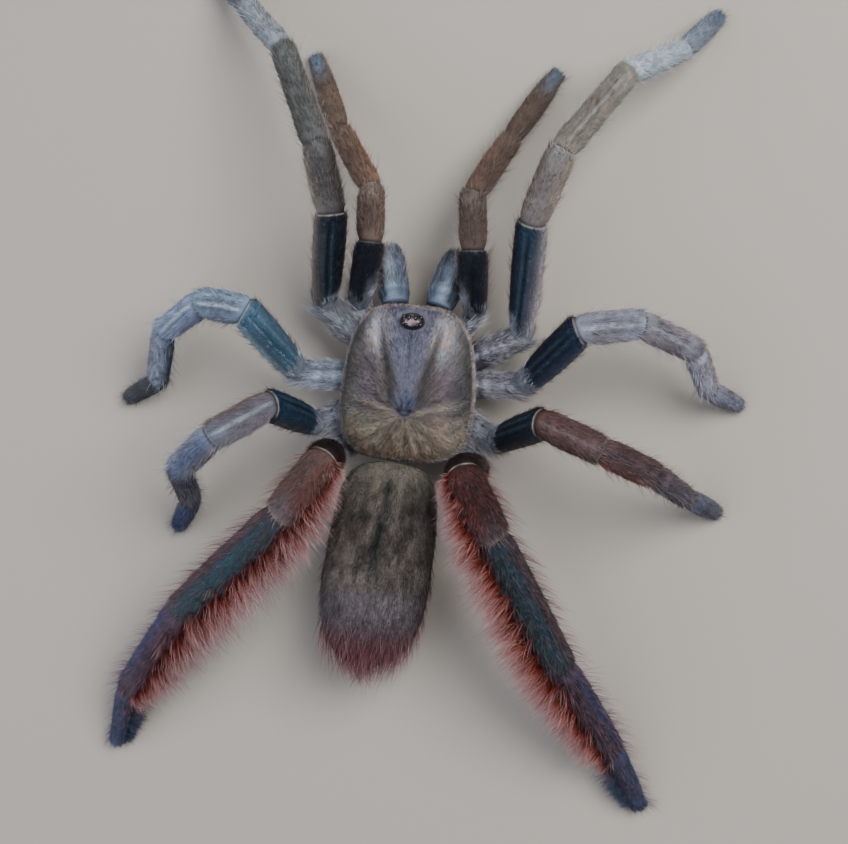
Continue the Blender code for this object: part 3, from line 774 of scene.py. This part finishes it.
corner = np.radians([90, 210, 330])
cornerTurns = np.cos(corner), np.sin(corner)
strand = dict(sunk=0.06, floor=0.01, thick=0.7, patch=0.003)  # patch is its size on the map


def tufted(draw, n, tuft):
    # n random values of which every `tuft` in a row are the same
    return np.repeat(draw(-(-n // tuft)), tuft)[:n]


def growHair(root, normal, course, style, tones, place, chance):
    # Each strand is a three-sided spike in `segments` lengths. Its direction turns from lift[0] to
    # lift[1] degrees off the skin, and every strand of a tuft shares most of its turn.
    n, segments = len(root), style["segments"]

    def shared(spread):
        common = tufted(lambda lots: chance.normal(0, 1, lots), n, style["tuft"])
        return spread * (0.75 * common + 0.6 * chance.normal(0, 1, n))

    yaw = np.radians(shared(style["yaw"]))
    lift = np.radians(np.array(style["lift"])[:, None] + shared(style.get("ruffle", 4)))
    lift = np.maximum(lift, np.radians(1.5))
    length = style["length"] * np.clip(1 + shared(0.22), 0.45, 1.6) * style.get("scale", 1)
    cross = unit(np.cross(normal, course))
    lie = unit(course * np.cos(yaw)[:, None] + cross * np.sin(yaw)[:, None])
    side = unit(np.cross(normal, lie))
    bow = shared(0.12)
    steps = (np.arange(segments) + 0.5) / segments
    angle = lift[0][:, None] + (lift[1] - lift[0])[:, None] * steps
    step = np.cos(angle)[..., None] * lie[:, None] + np.sin(angle)[..., None] * normal[:, None]
    step = unit(step + (bow[:, None] * steps)[..., None] * side[:, None])
    step = step * (length / segments)[:, None, None]
    start = (root - strand["sunk"] * normal)[:, None]
    spine = np.concatenate([start, start + np.cumsum(step, 1)], 1)
    share = np.linspace(0, 1, segments + 1)
    width = style["width"] * np.clip(1 + 0.25 * chance.normal(0, 1, n), 0.6, 1.5)
    swell = (1 - share[:-1] ** 1.5) ** 0.8
    up = np.cross(unit(step), side[:, None])
    cosine, sine = (turn[:, None, None, None] for turn in cornerTurns)
    ring = np.moveaxis(cosine * side[:, None] + strand["thick"] * sine * up, 0, 2)
    half = width[:, None, None] * swell[None, :, None] / 2
    rings = spine[:, :-1, None] + ring * half[:, :, None]
    points = np.concatenate([rings.reshape(n, -1, 3), spine[:, -1:]], 1)
    points[..., 2] = np.clip(points[..., 2], strand["floor"], coatTop)
    # its faces: quads between the rings, the root's triangle and three round the tip
    each = segments * 3 + 1
    offset = (np.arange(n) * each)[:, None, None]
    around = [(j, (j + 1) % 3) for j in range(3)]
    quads = [[r + j, r + m, r + 3 + m, r + 3 + j] for r in range(0, each - 4, 3) for j, m in around]
    ends = [[0, 2, 1]] + [[each - 4 + j, each - 4 + m, each - 1] for j, m in around]
    quads = (np.array(quads, int).reshape(-1, 4) + offset).reshape(-1, 4)
    triangles = (np.array(ends) + offset).reshape(-1, 3)
    share = np.append(np.repeat(share[:-1], 3), 1.0)
    spans = len(tones) - 1
    stops = np.linspace(0, 1, spans + 1)
    colour = np.zeros((n, each, 3))
    for i in range(each):
        j = min(int(share[i] * spans), spans - 1)
        f = (share[i] - stops[j]) * spans
        colour[:, i] = tones[j] * (1 - f) + tones[j + 1] * f
    colour *= np.clip(1 + shared(style.get("mottle", 0.16)), 0.5, 1.7)[:, None, None]
    wide = strand["patch"] * np.append(np.tile([0, 0.5, 1], segments), 0.5)
    spread = (place[:, None] + stacked(wide, share * strand["patch"])).reshape(-1, 2)
    return dict(
        points=points.reshape(-1, 3), quads=quads, triangles=triangles, tone=colour.reshape(-1, 3),
        map=spread[np.concatenate([quads.ravel(), triangles.ravel()])], mapSplit=quads.size,
    )


# Each joint's coat: strands on a square millimetre, length, degrees off the skin at root and tip.
# The second entry of a pair is the sparse, longer hair that stands out.
limbCoat = {
    "coxa": (
        dict(density=44, length=1.2, lift=(12, 7), width=0.066, segments=1, yaw=11, mottle=0.38),
        dict(density=8, length=1.7, lift=(30, 10), width=0.055, segments=2, yaw=16),
    ),
    "femur": (
        dict(
            density=32, length=0.85, lift=(11, 6), width=0.05, segments=1, yaw=5,
            ruffle=3, mottle=0.5,
        ),
        dict(density=4.5, length=1.3, lift=(34, 14), width=0.042, segments=2, yaw=12),
    ),
    "patella": (
        dict(density=29, length=0.95, lift=(13, 9), width=0.07, segments=1, yaw=10),
        dict(density=3.0, length=1.8, lift=(40, 22), width=0.045, segments=2, yaw=18),
    ),
    "tibia": (
        dict(density=29, length=1.0, lift=(13, 9), width=0.07, segments=1, yaw=10),
        dict(density=3.2, length=1.9, lift=(42, 24), width=0.045, segments=2, yaw=18),
    ),
    "metatarsus": (
        dict(density=30, length=0.95, lift=(14, 10), width=0.07, segments=1, yaw=11),
        dict(density=3.4, length=1.8, lift=(44, 26), width=0.045, segments=2, yaw=20),
    ),
    "tarsus": (
        dict(density=34, length=0.75, lift=(15, 10), width=0.065, segments=1, yaw=13),
        dict(density=3.2, length=1.3, lift=(44, 26), width=0.04, segments=2, yaw=24),
    ),
    "chelicera": (
        dict(density=38, length=1.0, lift=(8, 4), width=0.07, segments=1, yaw=7, ruffle=3),
        dict(density=2, length=1.8, lift=(28, 12), width=0.05, segments=3, yaw=12),
    ),
    "spinneret": (
        dict(density=34, length=0.75, lift=(20, 8), width=0.06, segments=1, yaw=14),
        dict(density=5, length=1.2, lift=(34, 14), width=0.04, segments=2, yaw=16),
    ),
}


def limbPlace(u, turn, row, rows):
    # a root's place on the map of its limb: joints to the right, the turn upwards in its own row
    place = stacked(u / 6.9, (row + turn * 0.92) / rows)
    return np.clip(place, 0.002, 0.994)


def growOnLimb(limb, chance, row=0, rows=1):
    # Each joint's strands grow in tufts at random places, but not near the bends, on a coxa's
    # hidden base or past the last joint's dome.
    grown = []
    scatter = 0.16  # of a tuft's roots
    for k, joint in enumerate(limb.names):
        radius = float(skinRadius(limb, np.array(k), np.array(0.5), np.array(0.0)))
        area = 2 * math.pi * radius * limb.length[k]
        bare = {"coxa": 0.0, "femur": 0.5}.get(joint, 0.2) / limb.length[k]
        for order, style in enumerate(limbCoat[joint]):
            style = dict(style, tuft=(4, 2)[order])
            shaggy = 1.7 if order and "leg4" in limb.name else 1.0
            n = int(style["density"] * area * hairShare * shaggy)
            t = tufted(chance.random, n, style["tuft"])
            t = t + chance.normal(0, scatter, n) / limb.length[k]
            a = tufted(lambda lots: chance.uniform(-math.pi, math.pi, lots), n, style["tuft"])
            a = a + chance.normal(0, scatter, n) / radius
            if k == len(limb.names) - 1:
                t = t * 1.2
                kept = (t > 0.03) & (t < 1.75)
            else:
                kept = (t > (0.35 if joint == "coxa" else 0.01)) & (t < 1 - bare)
            t, a = t[kept], a[kept]
            u = k + np.minimum(t, 1.8)
            point, normal, course = onLimb(limb, u, a)
            degrees = np.degrees(a)
            if joint == "coxa":
                style["scale"] = 1 + 0.6 * ramp(t, 0.65, 0.95)
            if joint == "femur" and order == 0:
                style["scale"] = 1 + 0.9 * ramp(t, 0.24, 0.12)
            if joint == "femur" and order == 1:
                style["scale"] = 0.5 + 0.8 * ramp(np.abs(degrees), 50, 90)
                if "palp" in limb.name:
                    style["scale"] *= 1 + 0.8 * ramp(degrees, 50, 90)
            if "leg4" in limb.name and order == 1 and k > 1:
                style["scale"] = 1 + 0.7 * ramp(-degrees, 40, 90)
            tones = hairTones(limb, joint, order, limbTone(limb, u, a, point), np.abs(degrees))
            place = limbPlace(u, a / (2 * math.pi) + 0.5, row, rows)
            grown.append(growHair(point, normal, course, style, tones, place, chance))
    return grown


def hairTones(limb, joint, order, base, degrees):
    # a strand's tones from root to tip, from the skin's tone at its root
    flank = ramp(degrees, 50, 95)
    if joint == "femur" and order == 0:
        # leg II's left femur gets a pale blue fringe as painted sheen; the tan fringe elsewhere is
        # the hair's own colour
        fringe = tone("a8b8c8" if limb.name == "leg2_left" else "8c7a72")
        return [base * 0.7, mixed(base * 1.7, fringe, 0.08 + flank * 0.4)]
    if joint == "femur":
        return [mixed(base, "7c6a64", flank), mixed(base * 1.8, "ccb8ae", flank)]
    if joint == "coxa":
        return [base * 0.55, mixed(base * 1.1, "f0f2fa", 0.6)]
    if order == 0:
        return [base * 0.8, base * 1.2, mixed(base * 1.1, "d4ccca", 0.3)]
    # long hairs have pale tips of their own, made paler still down the flanks as painted light
    # along the limb's edges
    tip = "c89aa0" if "leg4" in limb.name else "d8ccc6"
    return [base * 1.1, mixed(base, tip, 0.45 + 0.35 * flank)]


# The long hair on the rear side of the hind legs.
brush = dict(
    density=41, band=3.6, length=1.0, width=0.055, segments=3, lift=(106, 74),
    yaw=8, ruffle=7, tuft=5, mottle=0.22, tones=("3c1410", "7c3224", "a8605a", "ccaaac", "e2d4d8"),
)


def growBrush(limb, chance, row, rows):
    # strands from the rear side out to where the solid's own brush ends
    grown = []
    tuft = brush["tuft"]
    for k in range(2, 6):
        n = int(brush["density"] * limb.length[k] * brush["band"] * hairShare)
        t = tufted(lambda lots: chance.uniform(-0.02, 1.0, lots), n, tuft)
        t = t + chance.normal(0, 0.2, n) / limb.length[k]
        a = tufted(lambda lots: chance.normal(88, 24, lots), n, tuft)
        a = np.radians(a + chance.normal(0, 5, n))
        reach = parabola(limb.brush, k, t)
        kept = (t > 0) & (t < 1) & (reach > 0.15)
        t, a, reach = t[kept], a[kept], reach[kept]
        point, normal, course = onLimb(limb, k + t, a)
        scale = (reach + 0.45) * (0.7 + 0.3 * np.sin(np.clip(a, 0, math.pi)))
        shade = (0.85 + 0.3 * patches(point, 2.0))[:, None]
        tones = [tone(code) * shade for code in brush["tones"]]
        if k == 5:
            tones = [mixed(c, "4a5268", ramp(t, 0.0, 0.5)) for c in tones]
        place = limbPlace(k + t, a / math.pi, row, rows)
        style = dict(brush, scale=scale)
        grown.append(growHair(point, normal, course, style, tones, place, chance))
    return grown


abdomenCoat = (
    dict(density=42, length=0.85, lift=(20, 12), width=0.07, segments=1, yaw=9, tuft=2, mottle=0.3),
    dict(density=7.2, length=2.3, lift=(32, 12), width=0.055, segments=3, yaw=13, tuft=3),
)


def growOnAbdomen(surface, chance):
    # Strands at random places on the grid, weighed by area, lying towards the rear. The long ones
    # are thickest at the rear and on the flanks, and turn red there.
    normals, area = gridNormals(surface)
    rows, columns = area.shape
    weight = (area / area.sum()).ravel()
    grown = []
    for order, style in enumerate(abdomenCoat):
        n = int(style["density"] * area.sum() * hairShare)
        cell = tufted(lambda lots: chance.choice(weight.size, lots, p=weight), n, style["tuft"])
        i, j = cell // columns, cell % columns
        i = np.clip(i + chance.normal(0, 0.4, n) + chance.random(n) - 0.5, 0.5, rows - 1.6)
        j = (j + chance.normal(0, 0.4, n) + chance.random(n) - 0.5) % columns
        if order:
            point = onGrid(surface, i, j)
            rearward, flank = rearAndFlank(point)
            dense = np.clip(rearward + 0.8 * flank * ramp(point[:, 1], 15, 24), 0, 1)
            thick = chance.random(n) < 0.14 + 0.86 * dense
            i, j = i[thick], j[thick]
        point, normal = onGrid(surface, i, j), unit(onGrid(normals, i, j))
        rearward, flank = rearAndFlank(point)
        x, one = acrossAbdomen(point), np.ones(len(point))
        course = laidFlat(stacked(0.07 - 0.02 * x, one, -0.1 * one), normal)
        base = abdomenTone(point)
        if order:
            scale = 0.6 + 1.1 * rearward + 0.4 * flank
            red = mixed("703038", "84505c", 1 - rearward)
            middle = mixed(base, red, np.clip(rearward + 0.7 * flank, 0, 1))
            tip = mixed(base * 1.5, "e8c4ca", np.clip(rearward + 0.6 * flank, 0, 1))
            tones = [base * 0.7, middle, tip]
        else:
            scale = 0.85 + 0.5 * rearward
            tones = [base * 0.8, mixed(base * 1.4, "c0959e", rearward * 0.75)]
        place = stacked(0.01 + 0.98 * i / rows, 0.01 + 0.97 * j / columns)
        style = dict(style, scale=scale)
        grown.append(growHair(point, normal, course, style, tones, place, chance))
    return grown


def rearAndFlank(point):
    # how far a point of the abdomen lies to its rear and down its flanks, from 0 to 1
    height = abdomen["middle"][2] - point[:, 2]
    return ramp(point[:, 1], 26.5, 31), ramp(height, -2.0, 2.0)


def onGrid(values, i, j):
    # value between the four grid points round (i, j), the columns wrapping
    near, left = i.astype(int), j.astype(int)
    right = (left + 1) % values.shape[1]
    i, j = (i - near)[:, None], (j - left)[:, None]
    first = values[near, left] * (1 - j) + values[near, right] * j
    second = values[near + 1, left] * (1 - j) + values[near + 1, right] * j
    return first * (1 - i) + second * i


shellCoat = (
    dict(
        count=16000, length=0.75, lift=(13, 5), width=0.055, segments=1, yaw=20,
        tuft=3, mottle=0.4,
    ),
    dict(
        count=4200, length=1.0, lift=(26, 4), width=0.06, segments=2, yaw=22, tuft=2, mottle=0.3,
        tones=("847678", "ccc0c0", "ece6e6"),
    ),
)


def growOnShell(chance):
    # short hair lying flat, outwards from the fovea, and a pale fringe round the edge
    grown = []
    for order, style in enumerate(shellCoat):
        n = int(style["count"] * hairShare)
        if order:
            level = chance.uniform(0.975, 0.999, n)
        else:
            level = np.sqrt(chance.random(n)) * 0.985
        turn = chance.uniform(0, 2 * math.pi, n)
        point = shellPoint(level, turn)
        if not order:  # none on the eye mound
            clear = np.hypot(point[:, 0] / 1.7, (point[:, 1] + 7.4) / 1.3) > 1
            level, turn, point = level[clear], turn[clear], point[clear]
        step, inwards = 0.004, np.where(level > 0.9, -1, 1)
        outer = shellPoint(level + step * inwards, turn)
        beside = shellPoint(level, turn + step)
        normal = unit(np.cross(beside - point, (outer - point) * inwards[:, None]))
        normal = normal * np.sign(normal[:, 2:] + 1e-6)
        away = point - (0, shell["foveaY"], 0)
        away[:, 2] = 0
        if order:
            away = unit(away) - (0, 0, 0.35)
            normal = unit(normal + unit(away) * 0.3)
            style = dict(style, scale=1 - 0.4 * ramp(point[:, 1], 7.5, 9.0))
            tones = [tone(code) for code in style["tones"]]
        else:
            base = carapaceTone(point)
            tones = [base * 0.72, base * 1.42]
        course = laidFlat(away, normal)
        place = 0.5 + 0.48 * level[:, None] * stacked(np.sin(turn), np.cos(turn))
        grown.append(growHair(point, normal, course, style, tones, place, chance))
    return grown


jaw = dict(root=(2.6, -9.4, 6.9), tip=(4.1, -15.2, 5.2))
fang = dict(start=(4.0, -15.0, 3.1), radius=2.5, sweep=(-8, 100), girth=0.75, rings=40, turns=20)
tail = dict(root=(1.3, 31.2, 3.3), tip=(1.9, 33.7, 3.6))  # before the abdomen's turn
mound = dict(place=(0, -7.4, 11.5), size=(1.5, 1.05, 1.15))
# The eyes of one side: how far out and back from the mound's middle, and radius.
eyes = ((0.38, -0.38, 0.27), (1.02, -0.52, 0.26), (1.02, 0.32, 0.24), (0.62, 0.42, 0.2))
breast = dict(place=(0, -0.6, 6.3), size=(5.3, 7.6, 3.0))  # all that the shell covers
claw = dict(rings=10, turns=8, radius=0.11, apart=0.28, lowest=0.14)


def mirrored(point, side):
    # a point given for the left side, on either side
    return np.array([side * point[0], point[1], point[2]], float)


def sweep(path, radius, turns, upward):
    # circles of the given radii carried along a path
    course = unit(np.gradient(path, axis=0))
    side = unit(np.cross(course, upward))
    up = np.cross(side, course)
    turn = circle(turns)[None, :, None]
    ring = np.cos(turn) * side[:, None] + np.sin(turn) * up[:, None]
    return path[:, None] + ring * radius[:, None, None]


def ball(centre, size, rows=14, turns=24, whole=True):
    # an ellipsoid, or its upper half
    far = 0.97 if whole else 0.5
    polar, turn = grid(np.linspace(0.03, far, rows) * math.pi, circle(turns))
    ring = np.sin(polar)
    out = stacked(ring * np.cos(turn), ring * np.sin(turn), np.cos(polar))
    return np.array(centre) + out * np.array(size)


def plain(points, code, row=0, rows=1):
    # a closed grid of one colour, in its own row of the map
    place = (0.01, (row + 0.03) / rows, 0.98, 0.94 / rows)
    return closedGrid(points, np.broadcast_to(tone(code), points.shape), place)


def fangPoints(side):
    # a tapered sweep along an arc
    turn = np.radians(np.linspace(*fang["sweep"], fang["rings"]))
    centre = mirrored(fang["start"], side) + (0, fang["radius"], 0)
    path = stacked(0 * turn, -np.cos(turn), -np.sin(turn)) * fang["radius"] + centre
    taper = 1 - 0.86 * np.linspace(0, 1, fang["rings"]) ** 0.8
    return sweep(path, fang["girth"] * taper, fang["turns"], np.array([1.0, 0, 0]))


def clawPoints(limb, lean):
    # one of two small hooks at a foot's tip
    tip, along = limb.points[-1], limb.along[-1]
    side = unit(np.cross(along, (0, 0, 1.0)))
    s = np.linspace(0, 1, claw["rings"])
    apart = claw["apart"] * lean + 0.12 * lean * s
    path = tip + along * (0.7 + 0.6 * np.sin(s * 1.4))[:, None] + side * apart[:, None]
    path = path + np.array([0, 0, -1.0]) * (0.25 * s + 0.35 * s ** 2)[:, None] + (0, 0, 0.15)
    path[:, 2] = np.maximum(path[:, 2], claw["lowest"])
    return sweep(path, claw["radius"] * (1 - 0.8 * s), claw["turns"], side)


class Number:
    # a number socket, so that shader maths reads as arithmetic
    def __init__(self, finish, socket):
        self.finish, self.socket = finish, socket

    def maths(self, operation, first, second):
        made = self.finish.node("ShaderNodeMath", dict(operation=operation), {0: first, 1: second})
        return Number(self.finish, made.outputs[0])

    def __add__(self, other):
        return self.maths("ADD", self, other)

    def __rsub__(self, other):
        return self.maths("SUBTRACT", other, self)

    def __mul__(self, other):
        return self.maths("MULTIPLY", self, other)

    __radd__ = __add__
    __rmul__ = __mul__


class Finish:
    # a material being wired up: constants set on the shader, links added by node() and feed()
    def __init__(self, name, **settings):
        self.material = bpy.data.materials.new(name)
        self.material.use_nodes = True
        self.tree = self.material.node_tree
        self.shader = self.tree.nodes["Principled BSDF"]
        for socket, value in settings.items():
            self.shader.inputs[socket.replace("_", " ")].default_value = value

    def link(self, value, socket):
        self.tree.links.new(value.socket if isinstance(value, Number) else value, socket)

    def node(self, kind, settings=(), sockets=()):
        made = self.tree.nodes.new(kind)
        for key, value in dict(settings).items():
            setattr(made, key, value)
        for key, value in dict(sockets).items():
            if isinstance(value, (Number, bpy.types.NodeSocket)):
                self.link(value, made.inputs[key])
            else:
                made.inputs[key].default_value = value
        return made

    def feed(self, socket, value):
        self.link(value, self.shader.inputs[socket])

    def attribute(self, name):
        return self.node("ShaderNodeAttribute", dict(attribute_name=name)).outputs

    def number(self, name):
        return Number(self, self.attribute(name)["Fac"])

    def place(self):
        return self.node("ShaderNodeTexCoord").outputs["Object"]

    def noise(self, vector, scale, detail, roughness=0.6):
        settings = dict(Vector=vector, Scale=scale, Detail=detail, Roughness=roughness)
        return Number(self, self.node("ShaderNodeTexNoise", (), settings).outputs["Fac"])

    def paint(self, colour, factor):
        # the piece's own tones, made lighter or darker by a number
        sockets = {0: colour, "Scale": factor}
        made = self.node("ShaderNodeVectorMath", dict(operation="SCALE"), sockets)
        self.feed("Base Color", made.outputs[0])

    def bump(self, height, strength, distance):
        sockets = dict(Height=height, Strength=strength, Distance=distance)
        self.feed("Normal", self.node("ShaderNodeBump", (), sockets).outputs[0])


def flecked(name, low, spread, scale, **settings):
    # a finish in its piece's own tones with fine light and dark noise over them
    finish = Finish(name, **settings)
    colour = finish.attribute("tone")["Color"]
    finish.paint(colour, low + spread * finish.noise(finish.place(), scale, 2))
    return finish.material


def glossFinish(name, roughness, coatWeight):
    # smooth and hard, with or without a clear coat
    settings = dict(Roughness=roughness, Coat_Weight=coatWeight, Coat_Roughness=0.03)
    return flecked(name, 0.8, 0.4, 2500, **settings)


def skinFinish():
    # fine grain in the skin's own tones, painted darker overall as painted shade among the hairs,
    # glossier where its gloss says so
    finish = Finish("skin", Specular_IOR_Level=0.25)
    place = finish.place()
    grain = finish.noise(place, 5200, 3)
    colour = finish.attribute("tone")["Color"]
    # painted shade: the skin under the coat is darkened to about 0.7 of its tone on average
    finish.paint(colour, 0.35 + 0.7 * grain)
    finish.feed("Roughness", 0.72 - 0.24 * finish.number("gloss") + 0.12 * grain)
    finish.bump(grain, 0.5, 0.00008)
    return finish.material


def shellFinish():
    # streaks that run out from the fovea: noise over (turn round it, distance from it)
    finish = Finish("carapaceShell", Specular_IOR_Level=0.4)
    spin, away = finish.number("spin"), finish.number("away")
    polar = finish.node("ShaderNodeCombineXYZ", (), dict(X=spin * 26.0, Y=away * 0.9, Z=0.0))
    streaks = finish.noise(polar.outputs[0], 1.6, 4, 0.7)
    grain = finish.noise(finish.place(), 6000, 2)
    colour = finish.attribute("tone")["Color"]
    finish.paint(colour, 0.55 + 0.6 * streaks + 0.35 * grain)
    finish.feed("Roughness", 0.5 + 0.25 * streaks)
    finish.bump(streaks * 0.7 + grain * 0.3, 0.6, 0.00012)
    return finish.material


# The camera looks down almost square to the carapace, a little from its right and front.
sight = dict(
    lean=-3.92, nod=-2.05, roll=5.445, target=(0, 0, 9.5), away=200.6,
    lens=71.55, sensor=36, clip=(0.01, 20),
    right=-1.905, up=4.52,  # how far the view's middle lies from the target, across the view
)
lamps = (
    dict(name="key", at=(-150, -130, 300), size=0.22, power=1.3, colour=(1.0, 0.97, 0.93)),
    dict(name="fill", at=(230, 60, 260), size=0.4, power=0.75, colour=(0.88, 0.94, 1.0)),
)
sky = dict(colour=(0.86, 0.9, 0.95, 1), strength=0.24)
ground = dict(half=1.5, colour=(0.5, 0.46, 0.42, 1))  # half its side in metres


def addCamera():
    lean, nod, turn = (math.radians(sight[key]) for key in ("lean", "nod", "roll"))
    back = unit(np.array([math.tan(lean), math.tan(nod), 1.0]))
    up = unit(np.array([0, -1.0, 0]) - back * -back[1])
    right = np.cross(-back, up)
    c, s = math.cos(turn), math.sin(turn)
    up, right = up * c - right * s, right * c + up * s
    centre = np.array(sight["target"]) + back * sight["away"]
    centre = centre - right * sight["right"] - up * sight["up"]
    data = bpy.data.cameras.new("camera")
    data.lens, data.sensor_width = sight["lens"], sight["sensor"]
    data.clip_start, data.clip_end = sight["clip"]
    camera = added("camera", data)
    axes = Matrix(np.column_stack([right, up, back]).tolist()).to_4x4()
    camera.matrix_world = Matrix.Translation(((centre + bodyCentre) * mm).tolist()) @ axes
    bpy.context.scene.camera = camera


def addLights():
    for lamp in lamps:
        data = bpy.data.lights.new(lamp["name"], "AREA")
        data.size, data.energy, data.color = lamp["size"], lamp["power"], lamp["colour"]
        obj = added(lamp["name"], data)
        obj.location = Vector(lamp["at"]) * mm
        obj.rotation_euler = (-obj.location).to_track_quat("-Z", "Y").to_euler()
    world = bpy.data.worlds.new("studio")
    bpy.context.scene.world = world
    world.use_nodes = True
    background = world.node_tree.nodes["Background"]
    background.inputs["Color"].default_value = sky["colour"]
    background.inputs["Strength"].default_value = sky["strength"]


def addFloor():
    mesh = bpy.data.meshes.new("floor")
    half = ground["half"]
    corners = [(-half, -half, 0), (half, -half, 0), (half, half, 0), (-half, half, 0)]
    mesh.from_pydata(corners, [], [(0, 1, 2, 3)])
    finish = Finish("floorFinish", Roughness=0.9, Base_Color=ground["colour"])
    mesh.materials.append(finish.material)
    floor = added("floor", mesh)


limbRings = dict(
    ends=(0, 0.08, 0.17, 0.27, 0.4, 0.65, 1.1, 1.7),  # from each end of a joint
    short=4.5,  # a joint shorter than this has them closer
    between=9,
    dome=(0, 0.2, 0.4, 0.6, 0.8, 0.93),  # shares of the way over the tip
    columns=28, apart=0.045, tall=0.042,  # rows on the map
)


def limbSkin(limb, row):
    # rings close together at the bends, wider apart between them, and over the tip's dome
    u = []
    for k, length in enumerate(limb.length):
        ends = np.array(limbRings["ends"]) / length * min(1, length / limbRings["short"])
        middle = np.linspace(ends[-1], 1 - ends[-1], limbRings["between"])[1:-1]
        u += [k + ends, k + middle, k + 1 - ends[:0:-1]]
    u += [len(limb.names) + np.array(limbRings["dome"])]
    turns = np.linspace(-math.pi, math.pi, limbRings["columns"], endpoint=False)
    u, a = grid(np.concatenate(u), turns)
    u = np.where(u == 0, 0.001, u)
    points = onLimb(limb, u, a)[0]
    gloss = np.array([1.0 if n == "femur" else 0.15 for n in limb.names])[split(limb, u)[0]]
    place = (0.01, 0.01 + row * limbRings["apart"], 0.98, limbRings["tall"])
    return closedGrid(points, limbTone(limb, u, a, points), place, gloss=gloss)


def dullSkin(points, tones, left):
    # a closed grid without gloss, over the limbs' rows on the map
    return closedGrid(points, tones, (left, 0.66, 0.48, 0.33), gloss=np.zeros(points.shape[:2]))


def smallLimb(kind, ends, sideName):
    # a chelicera, or a spinneret, which turns with the abdomen round its pivot
    side, name = sides[sideName], f"{kind}_{sideName}"
    points = np.stack([mirrored(ends["root"], side), mirrored(ends["tip"], side)])
    if kind == "spinneret":
        turned = Matrix.Rotation(-math.radians(abdomen["turn"]), 3, "Z")
        points = [turned @ Vector(point - (0, abdomen["pivot"][1], 0)) for point in points]
        points = np.array(points) + (*abdomen["pivot"], 0)
    return makeLimb(name, side, points, (kind,), [name])


def moundPiece():
    # a half ball, dark with pale flecks at its middle and round its rim
    points = ball(mound["place"], mound["size"], 30, 48, False)
    x, y = points[..., 0], points[..., 1] - mound["place"][1]
    rim = (x / mound["size"][0]) ** 2 + (y / mound["size"][1]) ** 2
    flecks = patches(points, 0.24)
    made = mixed("a8949c", "1f1e28", ramp(rim + 0.9 * (flecks - 0.5), 0.02, 0.36))
    made = mixed(made, "8c8494", ramp(rim, 0.75, 1.0) * flecks * 0.7)
    return closedGrid(points, made, (0.02, 0.02, 0.96, 0.96))


def eyePieces():
    # balls set into the mound's ellipsoid
    made = []
    for side in sides.values():
        for out, back, radius in eyes:
            share = (out / mound["size"][0]) ** 2 + (back / mound["size"][1]) ** 2
            lift = mound["size"][2] * math.sqrt(1 - share)
            centre = np.array(mound["place"]) + (side * out, back, lift)
            made.append(plain(ball(centre, (radius,) * 3), "060608", len(made), 2 * len(eyes)))
    return made


addCamera()
addLights()
addFloor()

limbs = {name: longLimb(name) for name in limbPose}
smallLimbs = [smallLimb("chelicera", jaw, sideName) for sideName in sides]
smallLimbs += [smallLimb("spinneret", tail, sideName) for sideName in sides]
print("limbs measured")

# One skin for the limbs, the abdomen and what the shell covers.
skins, flesh = [], ["abdomen", "underside"]
for row, limb in enumerate([*limbs.values(), *smallLimbs]):
    skins.append(limbSkin(limb, row))
    flesh += [f"{limb.name}_{joint}" for joint in limb.names[1:]] or [limb.name]
abdomenGrid = abdomenSurface()
breastGrid = ball(breast["place"], breast["size"], 30, 48)
skins.append(dullSkin(abdomenGrid, abdomenTone(abdomenGrid), 0.01))
skins.append(dullSkin(breastGrid, np.broadcast_to(tone("2c2624"), breastGrid.shape), 0.51))
makePiece("skin", joined(skins), skinFinish(), "abdomen", *flesh)

makePiece("carapace_shell", carapacePiece(), shellFinish(), "carapace", "carapace")
moundFinish = glossFinish("moundFinish", 0.45, 0.0)
makePiece("eye_mound_shell", moundPiece(), moundFinish, "eye_mound", "eye_mound")
makePiece("eyes", joined(eyePieces()), glossFinish("eyeFinish", 0.08, 1.0), "eye_mound")
fangFinish = glossFinish("fangFinish", 0.18, 0.5)
for sideName, side in sides.items():
    piece = plain(fangPoints(side), "0c0808")
    makePiece(f"fang_{sideName}_shell", piece, fangFinish, "fang", f"fang_{sideName}")
hooks = [clawPoints(limb, lean) for limb in limbs.values() for lean in (-1, 1)]
hooks = [plain(points, "120e0e", row, len(hooks)) for row, points in enumerate(hooks)]
makePiece("claws", joined(hooks), glossFinish("clawFinish", 0.25, 0.3), "tarsus")
print("skin and shells made")

seeds = dict(limbs=100, rest=200)
hair = flecked("coatHair", 0.85, 0.3, 900, Roughness=0.5, Specular_IOR_Level=0.22)
for order, limb in enumerate(limbs.values()):
    grown = growOnLimb(limb, np.random.default_rng(seeds["limbs"] + order))
    makePiece(f"coat_{limb.name}", joined(grown), hair, "tibia")
chance = np.random.default_rng(seeds["rest"])
for row, sideName in enumerate(sides):
    grown = growBrush(limbs[f"leg4_{sideName}"], chance, row, len(sides))
    makePiece(f"coat_brush_{sideName}", joined(grown), hair, "tibia")
grown = []
for row, limb in enumerate(smallLimbs):
    grown += growOnLimb(limb, chance, row, len(smallLimbs))
makePiece("coat_jaws", joined(grown), hair, "chelicera")
makePiece("coat_abdomen", joined(growOnAbdomen(abdomenGrid, chance)), hair, "abdomen")
makePiece("coat_shell", joined(growOnShell(chance)), hair, "carapace")
print("coat grown")
